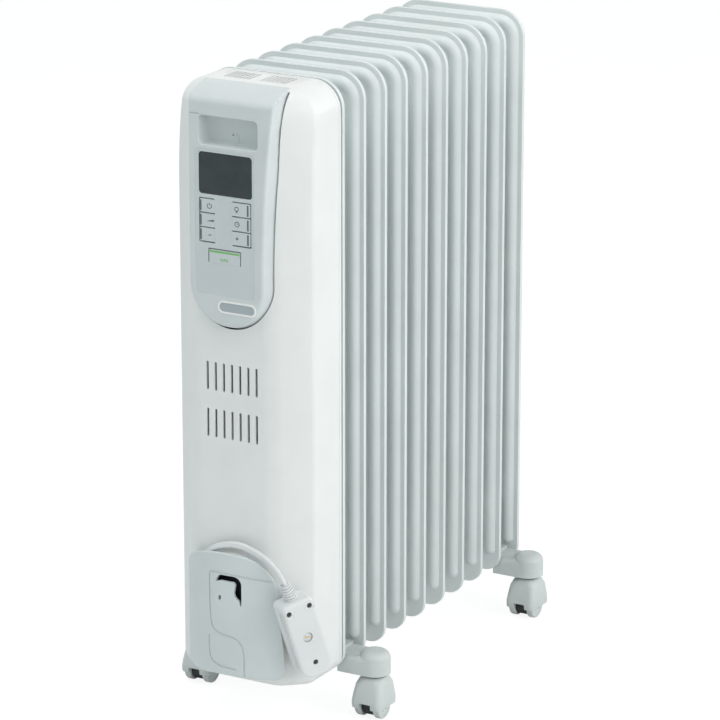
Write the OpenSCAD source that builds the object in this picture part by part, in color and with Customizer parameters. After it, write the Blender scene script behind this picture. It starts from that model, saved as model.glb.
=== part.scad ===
// Oil filled radiator heater: ten welded steel fins, a moulded control housing with cord storage,
// and two crossbars on four twin-wheel casters. Millimetres, +Z up, the housing faces -Y.
// The origin is on the floor under the middle of the heater, the cord and plug left out.

/* [Fins] */
// Width of one fin
fin_w = 151.6; // [150:0.2:153]
// Height of one fin
fin_h = 600; // [597:1:602]
// Height of the fins' lower edge above the floor
fin_bottom = 50; // [50:1:51]
// Distance from one fin to the next
fin_pitch = 41.6; // [41:0.1:41.6]
// Thickness of a fin's two welded sheets together
fin_t = 1.6; // [1.2:0.2:2]
// Depth of the rim folded back round a fin
rim_d = 4.6; // [3:0.2:5]
// Radius of a fin's top corners
fin_top_r = 28; // [22:1:34]
// Radius of a fin's bottom corners
fin_low_r = 17; // [12:1:22]
// Width of the oil channels pressed into a fin
channel_w = 13; // [12:0.5:14]
// Thickness through a fin at the crest of an oil channel
channel_t = 9.6; // [8:0.2:9.6]

/* [Housing] */
// Half the width of the housing
house_hw = 76; // [75:0.5:78]
// Half the width of the housing's flat front
front_hw = 45; // [42:0.5:46]
// Wall thickness of the housing
wall = 2.5; // [2:0.1:3]
// Height of the housing's lower edge
house_z0 = 51; // [50:0.5:51]
// Height of the housing's top
house_z1 = 650; // [650:1:652]

/* [Control panel] */
// Half the width of the display window
display_hw = 28.5; // [26:0.5:28.5]
// Height of the display window
display_h = 40; // [36:1:40]
// Mean width of the keys in the two columns
key_w = 19; // [17:0.5:19]
// Height of a panel key
key_h = 12; // [10:0.5:12]
// Travel of a panel key
key_travel = 0.8; // [0.4:0.1:0.8]

/* [Cord storage] */
// Diameter of the mains cord
cord_d = 7; // [6.5:0.1:7]
// Radius of the spool's round ends
spool_r = 25; // [24:0.5:25]
// Half the straight length of the spool
spool_s = 11; // [10:0.5:11]

/* [Casters] */
// Distance of a caster's swivel axis from the middle
caster_x = 100; // [98:1:104]
// Radius of a caster wheel
wheel_r = 13; // [12:0.5:13]
// Trail of the wheels behind the swivel axis
trail = 5; // [3:0.5:6]
// Radius of a wheel's axle pin
pin_r = 2.5; // [2:0.1:2.5]
// Radial running clearance of wheels and swivels
run_gap = 0.05; // [0.02:0.01:0.1]

/* [Hidden] */
$fn = 64;
fin_count = 10;

white = [0.93, 0.94, 0.93];
panel_grey = [0.72, 0.76, 0.77];
pale_grey = [0.77, 0.81, 0.80];
fin_grey = [0.78, 0.82, 0.81];
steel = [0.70, 0.71, 0.72];
dark = [0.16, 0.20, 0.21];

// ---- places along the depth ----
fin_y0 = -140;                       // front face of the first fin
fin_mid0 = fin_y0 + fin_t / 2;       // middle plane of the first fin
house_front = -223;                  // flat front of the housing
facet_y = -194.5;                    // where the slanting front corners meet the sides
house_back = -143;                   // open rear edge of the housing
panel_y = -232;                      // face of the control bezel
plate_y = -240;                      // foremost line of the cord storage plate
gap_front = fin_mid0 + fin_pitch / 2;                    // middle of the first gap between fins
gap_rear = fin_mid0 + (fin_count - 1.5) * fin_pitch;     // middle of the last gap
low_z = 119;                         // axis of the lower header
high_z = 590;                        // axis of the upper header

// ---- helpers ----
// Extrudes an outline drawn in X and Z from y0 to y1.
module xz(y0, y1) translate([0, y1, 0]) rotate([90, 0, 0]) linear_extrude(y1 - y0) children();
// Extrudes an outline drawn in Y and Z from x0 to x1.
module yz(x0, x1) translate([x0, 0, 0]) rotate([90, 0, 90]) linear_extrude(x1 - x0) children();
// Turns a solid of revolution so that its axis runs from y0 towards +Y.
module along_y(y0) translate([0, y0, 0]) rotate([-90, 0, 0]) children();
// A rectangle with round corners, centred.
module round_rect(w, h, r) {
  square([w - 2 * r, h], center = true);
  square([w, h - 2 * r], center = true);
  for (x = [-1, 1], z = [-1, 1]) translate([x * (w / 2 - r), z * (h / 2 - r)]) circle(r = r);
}
// A slot with round ends, standing upright, from z0 to z1.
module slot(w, z0, z1) {
  translate([-w / 2, z0 + w / 2]) square([w, z1 - z0 - w]);
  for (z = [z0 + w / 2, z1 - w / 2]) translate([0, z]) circle(d = w, $fn = 24);
}
// A stadium: two half discs of radius r joined by straights of half length s.
module stadium(r, s) {
  square([2 * r, 2 * s], center = true);
  for (z = [-s, s]) translate([0, z]) circle(r = r);
}
// Points of an arc about [cx, cz].
function arc(cx, cz, r, a0, a1, n) =
  [for (k = [0:n]) let (a = a0 + (a1 - a0) * k / n) [cx + r * cos(a), cz + r * sin(a)]];
// End face of a lofted solid of n sides, as strips across the ring that starts at point o.
function cap(n, o) = concat([[o, o + 1, o + n - 1]], [for (k = [1:floor((n - 2) / 2)])
  k + 1 < n - k - 1 ? [o + k, o + k + 1, o + n - k - 1, o + n - k] : [o + k, o + k + 1, o + n - k]]);
function turned(face) = [for (j = [len(face) - 1:-1:0]) face[j]];
// A closed solid through rings of equal point counts.
module loft(rings) {
  n = len(rings[0]);
  m = len(rings);
  sides = [for (i = [0:m - 2], j = [0:n - 1], half = [0, 1])
    let (a = i * n + j, b = i * n + (j + 1) % n, c = b + n, d = a + n) half == 0 ? [a, c, b] : [a, d, c]];
  polyhedron(points = [for (ring = rings) for (p = ring) p],
    faces = concat(cap(n, 0), sides, [for (f = cap(n, (m - 1) * n)) turned(f)]));
}

// ---- fins ----
module fin_outline(inset) {
  w = fin_w / 2 - inset;
  top = fin_h - inset;
  tr = fin_top_r - inset;
  lr = fin_low_r - inset;
  translate([-w, inset + lr]) square([2 * w, top - tr - inset - lr]);
  translate([lr - w, inset]) square([2 * (w - lr), lr]);
  translate([tr - w, top - tr]) square([2 * (w - tr), tr]);
  for (s = [-1, 1]) {
    translate([s * (w - lr), inset + lr]) circle(r = lr);
    translate([s * (w - tr), top - tr]) circle(r = tr);
  }
}

// A channel's section is a lens: two arcs of one radius.
lens_r = (pow(channel_w / 2, 2) + pow(channel_t / 2, 2)) / channel_t;
lens_c = lens_r - channel_t / 2;
channel_in = 12;                     // distance of the outer channel's middle from the fin's edge
channel_x = fin_w / 2 - channel_in;  // middle of the outer channel
turn_r = fin_top_r - channel_in;     // radius of the outer channel's top corners
inner_x = 22;                        // middle of the inner channels
channel_low = 24.5;                  // height of the outer channels' round lower ends in the fin
module lens() intersection() {
  translate([0, lens_c]) circle(r = lens_r, $fn = 96);
  translate([0, -lens_c]) circle(r = lens_r, $fn = 96);
}
module half_lens() intersection() {
  lens();
  translate([0, -channel_t]) square([channel_w, 2 * channel_t]);
}
module channel_up(x, z0, z1) translate([x, 0, z0]) linear_extrude(z1 - z0) lens();
module channel_across(x0, x1, z)
  translate([x0, 0, z]) rotate([90, 0, 90]) linear_extrude(x1 - x0) rotate(90) lens();
module channel_end(x, z) translate([x, 0, z]) rotate([90, 0, 0]) rotate_extrude() half_lens();
module channel_turn(side) translate([side * (channel_x - turn_r), 0, fin_h - channel_in - turn_r])
  rotate([90, 0, 0]) rotate_extrude(angle = 90, start = side > 0 ? 0 : 90)
    translate([turn_r, 0]) lens();

boss_foot = 31;                      // radius of a header boss where it rises from the sheet
boss_r = 22;                         // radius where two bosses meet
bore_r = 19;                         // radius of the header's bore
boss_d = fin_pitch / 2;              // height of a boss above the fin's middle plane
// A header boss from the fin's middle plane outwards, d high.
module boss(d) rotate_extrude() polygon([[0, 0], [boss_foot, 0], [boss_foot - 2, 2.5],
  [boss_r + 3, min(9, d - 1)], [boss_r, d], [0, d]]);

module fin(i) {
  first = i == 0;
  last = i == fin_count - 1;
  front_d = first ? 16.8 : boss_d;
  rear_d = last ? channel_t / 2 : boss_d;
  color(fin_grey) translate([0, fin_mid0 + i * fin_pitch, fin_bottom]) difference() {
    union() {
      xz(-fin_t / 2, fin_t / 2) fin_outline(0);
      xz(-fin_t / 2, rim_d - fin_t / 2) difference() {
        fin_outline(0);
        fin_outline(1.2);
      }
      for (s = [-1, 1]) {
        channel_up(s * channel_x, channel_low, fin_h - channel_in - turn_r);
        channel_end(s * channel_x, channel_low);
        channel_turn(s);
        channel_up(s * inner_x, low_z - fin_bottom, high_z - fin_bottom);
      }
      channel_across(turn_r - channel_x, channel_x - turn_r, fin_h - channel_in);
      channel_across(-channel_x, channel_x, low_z - fin_bottom);
      channel_up(0, high_z - fin_bottom, fin_h - channel_in);
      for (z = [low_z, high_z] - [fin_bottom, fin_bottom]) translate([0, 0, z]) {
        rotate([90, 0, 0]) boss(front_d);
        rotate([-90, 0, 0]) boss(rear_d);
      }
    }
    // the lower header is open towards the heating element, the upper one is closed at both ends
    translate([0, 0, low_z - fin_bottom]) along_y(first ? -front_d - 1 : -boss_d - 1)
      cylinder(r = bore_r, h = (first ? front_d : boss_d) + 1 + (last ? 2.8 : boss_d + 1));
    translate([0, 0, high_z - fin_bottom]) along_y(first ? -front_d + 2 : -boss_d - 1)
      cylinder(r = bore_r, h = (first ? front_d - 2 : boss_d + 1) + (last ? 2.8 : boss_d + 1));
  }
}

// ---- heater and electrics ----
flange_y = fin_mid0 - 16.8;          // face of the first lower boss
module heating_element() color(steel) {
  bend = 7.5;
  rod_r = 4.25;
  far = 215;
  for (x = [-bend, bend]) translate([x, 0, low_z]) {
    for (z = [-bend, bend]) translate([0, 0, z]) along_y(flange_y) cylinder(r = rod_r, h = far - flange_y);
    translate([0, far, 0]) rotate([0, 90, 0]) rotate_extrude(angle = 180)
      translate([bend, 0]) circle(r = rod_r, $fn = 32);
  }
}
module element_flange() color("goldenrod") translate([0, 0, low_z]) {
  along_y(flange_y - 4) cylinder(r = 24, h = 4);
  along_y(flange_y - 13) cylinder(r = 18, h = 9, $fn = 6);
  for (x = [-7.5, 7.5], z = [-7.5, 7.5]) translate([x, 0, z])
    along_y(flange_y - 21) cylinder(r = 2.6, h = 8);
}
module thermal_cutout() color("gainsboro") translate([0, 0, high_z]) {
  along_y(flange_y - 1.5) cylinder(r = 12, h = 1.5);
  along_y(flange_y - 8.5) cylinder(r = 8, h = 7);
  for (x = [-5, 5]) translate([x - 3, flange_y - 15.5, -0.4]) cube([6, 7, 0.8]);
}
post_x = 42;                         // posts between back plate and first fin
screw_x = [-40, 40];                 // the housing's two lower screws
screw_y = -162;
screw_r = 1.75;
module back_plate() color("silver") {
  difference() {
    xz(-150, -148.8) house_face(wall + 0.3);
    for (z = [low_z, high_z]) translate([0, 0, z]) along_y(-155) cylinder(r = boss_foot + 1, h = 10);
  }
  // stand-off posts to the first fin
  for (x = [-post_x, post_x], z = [170, 300, 540]) translate([x, 0, z])
    along_y(-148.8) cylinder(r = 5, h = fin_y0 + 148.8);
  // lower flange that the housing is screwed to
  difference() {
    translate([-55, -172, house_z0 + wall]) cube([110, 22.6, 1.5]);
    for (x = screw_x) translate([x, screw_y, house_z0]) cylinder(r = screw_r, h = 8, $fn = 32);
  }
  // posts of the power board
  for (x = [-38, 38], z = [390, 510]) translate([x, 0, z]) along_y(-183.4) cylinder(r = 3, h = 33.4);
}
module power_board() color("seagreen") {
  translate([-45, -185, 380]) cube([90, 1.6, 140]);
  translate([-34, -203, 470]) cube([30, 18, 34]);
  for (x = [4, 24]) translate([x, -201, 478]) cube([16, 16, 24]);
  translate([-30, -197, 392]) cube([60, 12, 14]);
  for (x = [-20, 0, 20]) translate([x, -185, 440]) rotate([90, 0, 0]) cylinder(r = 6, h = 16);
}

// ---- housing ----
// Plan, front and side outlines of the housing; their common part is its outer shape.
module house_plan(in) {
  w = house_hw - in;
  f = front_hw - in * 0.35;
  polygon([[-w, house_back + 30 * in], [w, house_back + 30 * in], [w, facet_y + in * 0.4],
    [f, house_front + in], [-f, house_front + in], [-w, facet_y + in * 0.4]]);
}
module house_face(in) {
  w = house_hw - in;
  polygon(concat(
    arc(w - 30 + in, house_z1 - 30, 30 - in, 0, 90, 10),
    arc(30 - in - w, house_z1 - 30, 30 - in, 90, 180, 10),
    arc(14 - in - w, house_z0 + 14, 14 - in, 180, 270, 6),
    arc(w - 14 + in, house_z0 + 14, 14 - in, 270, 360, 6)));
}
module house_side(in) {
  lean_r = 420;                      // the upper front leans back along this radius
  top_r = 32 - in;
  a = 10;                            // and ends at this angle
  lean_z = house_z1 - 32 - (lean_r - 32) * sin(a);
  cy = house_front + lean_r * (1 - cos(a)) + top_r * cos(a) + in;
  cz = house_z1 - 32;
  polygon(concat(
    [[house_back + 30 * in, house_z0 + in], [house_back + 30 * in, house_z1 - in]],
    arc(cy, cz, top_r, 90, 180 - a, 10),
    arc(house_front + lean_r, lean_z, lean_r - in, 180 - a, 180, 8),
    arc(house_front + 14, house_z0 + 14, 14 - in, 180, 270, 6)));
}
module house_solid(in) intersection() {
  translate([0, 0, house_z0 - 1]) linear_extrude(house_z1 - house_z0 + 2) house_plan(in);
  xz(house_front - 1, 0) house_face(in);
  yz(-house_hw - 1, house_hw + 1) house_side(in);
}
vent_pitch = 9.2;
grille_x = [-35, 5];                 // left edges of the two top grilles
grille_y = -178;
grille_d = 26;
tray_hw = 50.5;                      // cord storage tray
tray_z0 = 66;
tray_z1 = 190;
// Outline of the cord storage tray, drawn in by the given amount.
module tray_outline(in) translate([in - tray_hw, tray_z0 + in])
  square([2 * (tray_hw - in), tray_z1 - tray_z0 - 2 * in]);
module housing_shell() color(white) difference() {
  house_solid(0);
  house_solid(wall);
  // opening behind the control bezel, wider round its pocket
  xz(house_front - 5, house_front + 40) {
    translate([-33.5, 434]) square([67, 194]);
    translate([30, pocket_z0 - 6]) square([pocket_x[1] - 27, pocket_z1 - pocket_z0 + 10]);
  }
  // air slots in the front
  for (k = [-3:3], z = [301.5, 349]) translate([k * vent_pitch, 0, 0])
    xz(house_front - 5, house_front + 10) slot(2.6, z, z + 29);
  // fine slots in the top
  for (x = grille_x, k = [0:6])
    translate([x + 1 + k * 4.3, grille_y, house_z1 - 10]) cube([2.2, grille_d, 20]);
  // seat of the cord storage tray
  xz(house_front - 5, house_front + 10) tray_outline(0);
  // slots that the plug's blades are parked in
  plug_place() for (x = [-1, 1]) translate([x * blade_gap - 2.2, 10, blade_z - 5]) cube([4.4, 30, 10]);
  // holes of the two lower screws
  for (x = screw_x) translate([x, screw_y, house_z0 - 1]) cylinder(r = screw_r, h = 5, $fn = 32);
}
module housing_screws() color(steel) for (x = screw_x) translate([x, screw_y, house_z0]) {
  translate([0, 0, -2]) cylinder(r = 3.5, h = 2);
  cylinder(r = screw_r, h = 9, $fn = 32);
}

// ---- control bezel ----
panel_low = 459;                     // centre height of the bezel's round lower end
// Half the width of the bezel at height z, at its face and where it ends in the housing.
face_r = 40.5;
back_r = 55.5;
function face_hw(z) = face_r + 13.5 * pow(max(0, z - panel_low - 7) / 177, 2);
function back_hw(z) = let (s = min(1, max(0, (z - 560) / 60))) back_r - 8 * s * s * (3 - 2 * s);
side_steps = 14;
// Outline of the bezel, at its face or at its back: a half round below two flanks. Only the right one
// flares at the face, towards the side that a hand comes from.
function bezel_ring(face) = let (r = face ? face_r : back_r,
    flank = [for (k = [1:side_steps]) panel_low + (house_z1 - panel_low) * k / side_steps])
  concat(arc(0, panel_low, r, 270, 360, 14), [for (z = flank) [face ? face_hw(z) : back_hw(z), z]],
    [for (k = [side_steps - 1:-1:0]) [face ? -r : -back_hw(flank[k]), flank[k]]],
    arc(0, panel_low, r, 180, 258, 13));
function at_y(ring, y) = [for (p = ring) [p[0], y, p[1]]];
brow_y = -185;                       // where the bezel runs out on the housing's top
brow_r = 150;                        // radius of its curve over the top
crease_r = 9;                        // radius of the crease between top and face
crease_a = acos((panel_y + crease_r - brow_y) / (brow_r - crease_r));
crease_z = house_z1 - brow_r + (brow_r - crease_r) * sin(crease_a);
module bezel_outer() intersection() {
  loft([at_y(bezel_ring(false), -190), at_y(bezel_ring(true), panel_y)]);
  yz(-80, 80) polygon(concat([[brow_y, 380]],
    arc(brow_y, house_z1 - brow_r, brow_r, 90, crease_a, 6),
    arc(panel_y + crease_r, crease_z, crease_r, crease_a + 10, 180, 6),
    [[panel_y, 380]]));
}
pocket_x = [-29.5, 36];
pocket_z0 = 595.5;
pocket_z1 = 624;
pocket_d = 15;
display_z = 568;
key_x = [-20.6, 17.7];               // middles of the two columns of keys
key_more = [-1.8, 1.6];              // and how much wider than the mean their keys are
key_z = [535.8, 521.5, 507.2];
eco_x = -1.5;
eco_z = 487;
eco_w = 36;
module key_hole(w, h) round_rect(w + 0.6, h + 0.6, 1.3);
module control_bezel() color(panel_grey) difference() {
  union() {
    difference() {
      bezel_outer();
      house_solid(0);
      // hollow behind the face
      xz(panel_y + 2.5, -195) translate([-33.5, 434]) square([67, 196]);
    }
    // back of the pocket
    xz(panel_y + 1, panel_y + pocket_d + 1.5) translate([pocket_x[0] - 1.5, pocket_z0 - 1.5])
      square([pocket_x[1] - pocket_x[0] + 3, pocket_z1 - pocket_z0 + 3]);
    // posts that carry the display board
    for (z = [500, 541]) translate([0, 0, z]) along_y(panel_y + 2) cylinder(r = 2.5, h = 6, $fn = 24);
  }
  xz(panel_y - 1, panel_y + pocket_d)
    translate([(pocket_x[0] + pocket_x[1]) / 2, (pocket_z0 + pocket_z1) / 2])
      round_rect(pocket_x[1] - pocket_x[0], pocket_z1 - pocket_z0, 4);
  xz(panel_y - 1, panel_y + 5) translate([0, display_z]) round_rect(2 * display_hw, display_h, 2);
  for (side = [0, 1], z = key_z) xz(panel_y - 1, panel_y + 5) translate([key_x[side], z])
    key_hole(key_w + key_more[side], key_h);
  xz(panel_y - 1, panel_y + 5) translate([eco_x, eco_z]) key_hole(eco_w, key_h);
  xz(panel_y - 1, panel_y + 0.6) translate([badge_x, badge_z]) badge_outline();
}
module display_window() color(dark) xz(panel_y + 0.4, panel_y + 2.8) translate([0, display_z])
  round_rect(2 * display_hw, display_h, 2);
module display_board() color("seagreen") {
  translate([-32, panel_y + 8, 478]) cube([64, 1.6, 113]);
  translate([-26, panel_y + 2.8, display_z - 18]) cube([52, 5.2, 36]);
}
module key(w, x, z) color(panel_grey) translate([x, 0, z]) {
  xz(panel_y - 0.3, panel_y + 3) round_rect(w, key_h, 1);
  xz(panel_y + 2.8, panel_y + 3.8) round_rect(w + 1.6, key_h + 1.4, 1);
  // plunger towards the switch on the display board
  xz(panel_y + 3.8, panel_y + 8 - key_travel - 0.1) circle(r = 2, $fn = 24);
}
// A key of the left (0) or right (1) column, counted from the top.
module side_key(side, row) key(key_w + key_more[side], key_x[side], key_z[row]);
badge_x = 12.1;
badge_z = 437.8;
badge_r = 6.2;
module badge_outline() {
  square([30, 2 * badge_r], center = true);
  for (s = [-1, 1]) translate([s * 15, 0]) circle(r = badge_r);
}
module badge_plate() color("white") xz(panel_y - 0.4, panel_y + 0.6) translate([badge_x, badge_z])
  badge_outline();

// ---- cord storage ----
spool_z = 129.5;
tray_floor = -213;
plate_r = 120;
module plate_outline() polygon(concat(
  arc(13.5, 150, 39.8, 10, 77, 8),
  arc(0, 70.5, 120, 80, 105, 5),
  arc(-35.7, 172, 12.2, 110, 180, 5),
  arc(-36.4, 74.5, 11.5, 180, 265, 6),
  arc(50, 73, 9.5, 275, 360, 6)));
// Gap round the cord clip's tongue.
module clip_gap() translate([-1, -1.2]) polygon(concat(
  arc(-1.5, 161, 8, 180, 90, 5), arc(10.5, 160.5, 8.5, 90, 0, 5), [[19, 139], [17.8, 139]],
  arc(19, 152, 8, 250, 180, 3), arc(9.6, 160, 2.8, 0, 90, 3), [[-4, 162.8]]));
module storage_plate() color(pale_grey) difference() {
  intersection() {
    translate([0, plate_y + plate_r, 50]) cylinder(r = plate_r, h = 160, $fn = 192);
    xz(plate_y - 1, plate_y + 25) plate_outline();
  }
  translate([0, plate_y + plate_r, 40]) cylinder(r = plate_r - 3, h = 180, $fn = 192);
  xz(plate_y - 1, plate_y + 10) clip_gap();
  xz(plate_y - 1, plate_y + 10) translate([-6.3, 143.7]) round_rect(3, 5.4, 1.2);
  plate_screw_holes(screw_tip, hub_cap);
}
hub_cap = plate_y + 6;               // rear face of the hub's front wall
plate_screws = [[-15, 112], [15, 112]];
plate_screw_r = 1.6;
module plate_screw_holes(y0, y1) xz(y0, y1) for (p = plate_screws) translate(p)
  circle(r = plate_screw_r, $fn = 32);
gland_at = [-21.1, -217, 114.7];     // mouth of the gland
gland_tilt = 35;                     // lean of the gland from upright
gland_r = 5.2;
screw_tip = plate_y + 2;             // where the plate's screws end
module gland_place() translate(gland_at) rotate([0, -gland_tilt, 0]) children();
module cord_spool() color(pale_grey) difference() {
  union() {
    // tray set into the housing
    difference() {
      intersection() {
        xz(house_front, tray_floor + 2) tray_outline(0);
        house_solid(0);
      }
      xz(house_front - 1, tray_floor) tray_outline(2);
    }
    // hub that the cord is wound on, ending on the plate's inner face
    intersection() {
      xz(plate_y, tray_floor + 2) translate([0, spool_z]) stadium(spool_r, spool_s);
      translate([0, plate_y + plate_r, 50]) cylinder(r = plate_r - 3, h = 160, $fn = 192);
    }
  }
  // hollow hub, open into the housing and behind the plate's clip
  xz(hub_cap, tray_floor + 3) translate([0, spool_z]) stadium(spool_r - 3, spool_s);
  xz(plate_y - 1, hub_cap + 1) translate([-12, 136]) square([33, 34]);
  gland_place() translate([0, 0, -25]) cylinder(r = gland_r, h = 45);
  plate_screw_holes(plate_y, hub_cap + 1);
}
module cord_gland() color("dimgray") gland_place() difference() {
  translate([0, 0, -12]) cylinder(r = gland_r, h = 12);
  translate([0, 0, -13]) cylinder(d = cord_d + 0.2, h = 14);
}
module storage_screws() color(steel) {
  plate_screw_holes(screw_tip, hub_cap);
  for (p = plate_screws) translate([p[0], 0, p[1]]) along_y(hub_cap) cylinder(r = 3, h = 2);
}

// ---- mains cord and plug ----
wind_out = spool_r + 3 * (cord_d + 0.2) - 0.2;
module power_cord_winding() color(white)
  xz(tray_floor - 2 * cord_d, tray_floor) translate([0, spool_z]) difference() {
    stadium(wind_out, spool_s);
    stadium(spool_r, spool_s);
  }
// Route of the loose end, from the last turn over the plate to the plug's boot.
lead_route = [
  [-43, -224, 130], [-43, -224.5, 146], [-39, -227, 163], [-31, -229, 178], [-18, -231, 190],
  [-3, -231.5, 196], [12, -232, 198], [27, -233, 195.5], [40.5, -234, 191], [52, -235.5, 184.5],
  [60.5, -237, 177], [65.7, -237.1, 169.5], [66.7, -235.7, 166]
];
function unit(v) = v / norm(v);
function lead_dir(k) = unit(lead_route[min(k + 1, len(lead_route) - 1)] - lead_route[max(k - 1, 0)]);
cord_sides = 10;
function lead_ring(k) = let (t = lead_dir(k), u = unit(cross(t, [0, 1, 0])), v = cross(t, u))
  [for (j = [0:cord_sides - 1]) let (a = 360 * j / cord_sides)
    lead_route[k] + cord_d / 2 * (cos(a) * u + sin(a) * v)];
module power_cord_lead() color(white) loft([for (k = [0:len(lead_route) - 1]) lead_ring(k)]);

plug_at = [77, -221.5, 116];         // middle of the plug's body
plug_turn = 54;                      // turn of its face from the front towards the right
plug_lean = 17;                      // lean of its cord end to the left
plug_w = 34;
plug_h = 78;
plug_t = 27;
boot_lean = 8.5;
blade_gap = 6.35;
blade_z = -20;
module plug_place() translate(plug_at) rotate([0, -plug_lean, plug_turn]) children();
module at_plug_screws() for (p = [[-11.2, 31], [11.2, 31], [0, -28]])
  translate([p[0], 0, p[1]]) children();
// Outline of the plug's body, or of its hollow: square at the cord's end and round at the other.
module plug_outline(inset) hull() for (s = [-1, 1]) {
  translate([s * (plug_w / 2 - 5), plug_h / 2 - 5]) circle(r = 5 - inset, $fn = 32);
  translate([s * (plug_w / 2 - 14), 9 - plug_h / 2]) circle(r = 14 - inset, $fn = 48);
}
module plug_front_shell() color(white) plug_place() difference() {
  xz(-plug_t / 2, 0) plug_outline(0);
  xz(-plug_t / 2 + 2.5, 1) plug_outline(2.5);
  at_plug_screws() along_y(-plug_t / 2 - 1) cylinder(r = 2.7, h = 5, $fn = 32);
  along_y(-plug_t / 2 - 1) cylinder(r = 5.2, h = 5);
  translate([0, 0, plug_h / 2 - 4]) cylinder(r = 6.7, h = 6);
}
module plug_back_shell() color(white) plug_place() {
  difference() {
    xz(0, plug_t / 2) plug_outline(0);
    xz(-1, plug_t / 2 - 2.5) plug_outline(2.5);
    translate([0, 0, plug_h / 2 - 4]) cylinder(r = 6.7, h = 6);
    for (s = [-1, 1]) translate([s * blade_gap - 0.75, plug_t / 2 - 4, blade_z - 3.15]) cube([1.5, 6, 6.3]);
  }
  // screw pillars
  at_plug_screws() along_y(-plug_t / 2 + 6) cylinder(r = 2.6, h = plug_t - 8, $fn = 32);
}
module plug_screws() color(steel) plug_place() at_plug_screws()
  along_y(-plug_t / 2 + 1.6) cylinder(r = 2.6, h = 4.4, $fn = 32);
module plug_blades() color("gold") plug_place() for (s = [-1, 1])
  translate([s * blade_gap - 0.75, 3, blade_z - 3.15]) cube([1.5, plug_t / 2 + 14.5, 6.3]);
module plug_lamp_lens() color("white") plug_place()
  along_y(-plug_t / 2 + 1.2) cylinder(r = 5.2, h = 2.4);
module plug_boot() color(white) plug_place() difference() {
  union() {
    translate([0, 0, plug_h / 2 - 4]) cylinder(r = 6.7, h = 5);
    translate([0, 0, plug_h / 2 - 0.5]) rotate([0, -boot_lean, 0]) {
      cylinder(r1 = 6.5, r2 = 4.6, h = 18.5, $fn = 48);
      for (k = [0:5]) translate([0, 0, 1.6 + 2.8 * k]) cylinder(r = 6.9 - 0.28 * k, h = 1.4, $fn = 48);
    }
  }
  translate([0, 0, plug_h / 2 - 0.5]) rotate([0, -boot_lean, 0])
    translate([0, 0, 13]) cylinder(d = cord_d, h = 8);
}

// ---- crossbars and casters ----
bar_w = 32;                          // width of a crossbar between two fins
bar_z0 = 52;
bar_z1 = 67;
arm_r = 15.7;                        // radius of its round ends
arm_z0 = 45;
arm_z1 = 69;
arm_top_r = 8;                       // rounding of their upper edge
stem_r = 4;
// One arm of a crossbar, on the right.
module arm() difference() {
  union() {
    translate([caster_x, 0, 0]) rotate_extrude() polygon(concat([[0, arm_z0], [arm_r, arm_z0]],
      arc(arm_r - arm_top_r, arm_z1 - arm_top_r, arm_top_r, 0, 90, 6), [[0, arm_z1]]));
    translate([66, -arm_r, arm_z0]) cube([caster_x - 66, 2 * arm_r, 19.5]);
    translate([0, 0, 54]) linear_extrude(10.5)
      polygon([[60, -bar_w / 2 + 1], [90, -arm_r + 2], [90, arm_r - 2], [60, bar_w / 2 - 1]]);
  }
  translate([caster_x, 0, arm_z0 - 1]) cylinder(r = stem_r + run_gap, h = 17);
}
module crossbar(y) color(pale_grey) translate([0, y, 0]) {
  difference() {
    translate([-66, -bar_w / 2, bar_z0]) cube([132, bar_w, bar_z1 - bar_z0]);
    translate([-62, -bar_w / 2 + 3, bar_z0 - 1]) cube([124, bar_w - 6, 12]);
    for (x = [-u_x, u_x]) translate([x, 0, 50]) cylinder(r = 2.9, h = 20, $fn = 32);
  }
  arm();
  mirror([1, 0, 0]) arm();
}
u_r = 2.5;                           // rod of a U-bolt
u_x = boss_r + 0.7 + u_r;
module u_bolts() color(steel) for (y = [gap_front, gap_rear]) translate([0, y, 0]) {
  translate([0, 0, low_z]) rotate([90, 0, 0]) rotate_extrude(angle = 180)
    translate([u_x, 0]) circle(r = u_r, $fn = 32);
  for (x = [-u_x, u_x]) translate([x, 0, 52]) cylinder(r = u_r, h = low_z - 52, $fn = 32);
}
module wing_nut() difference() {
  union() {
    translate([0, 0, 56]) cylinder(r = 5, h = 7);
    for (s = [-1, 1]) translate([s * 8 - 4.5, -1, 54]) cube([9, 2, 8]);
  }
  translate([0, 0, 53]) cylinder(r = u_r, h = 12, $fn = 32);
}
module wing_nuts() color(steel)
  for (y = [gap_front, gap_rear], x = [-u_x, u_x]) translate([x, y, 0]) wing_nut();

hood_top = arm_z0 - 0.4;
hood_in = 14.6;                      // half the inner width of a hood
hood_out = 16.8;                     // half its outer width
wheel_x = 10.4;                      // distance of a wheel from the middle of its hood
wheel_w = 7.4;
module at_axle() translate([0, -trail, wheel_r]) rotate([0, 90, 0]) children();
module caster_hood(x, y) color(pale_grey) translate([x, y, 0]) {
  difference() {
    hull() {
      translate([0, 2.5 - trail, 12]) linear_extrude(1) round_rect(2 * hood_out - 1, 37, 5, $fn = 32);
      translate([0, 2.5 - trail, 18]) linear_extrude(1) round_rect(2 * hood_out, 38, 6, $fn = 32);
      translate([0, -1, 34]) linear_extrude(1) round_rect(2 * hood_out - 2, 31, 8, $fn = 32);
      translate([0, 0, hood_top - 1]) cylinder(r = 11.5, h = 1, $fn = 32);
    }
    at_axle() {
      translate([0, 0, -hood_in]) cylinder(r = wheel_r + 1, h = 2 * hood_in, $fn = 96);
      translate([0, -wheel_r - 1, -hood_in]) cube([wheel_r, 2 * wheel_r + 2, 2 * hood_in]);
      translate([0, 0, -2 * hood_out]) cylinder(r = pin_r, h = 4 * hood_out, $fn = 48);
    }
  }
  translate([0, 0, hood_top - 4]) cylinder(r = stem_r, h = 20);
}
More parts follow.
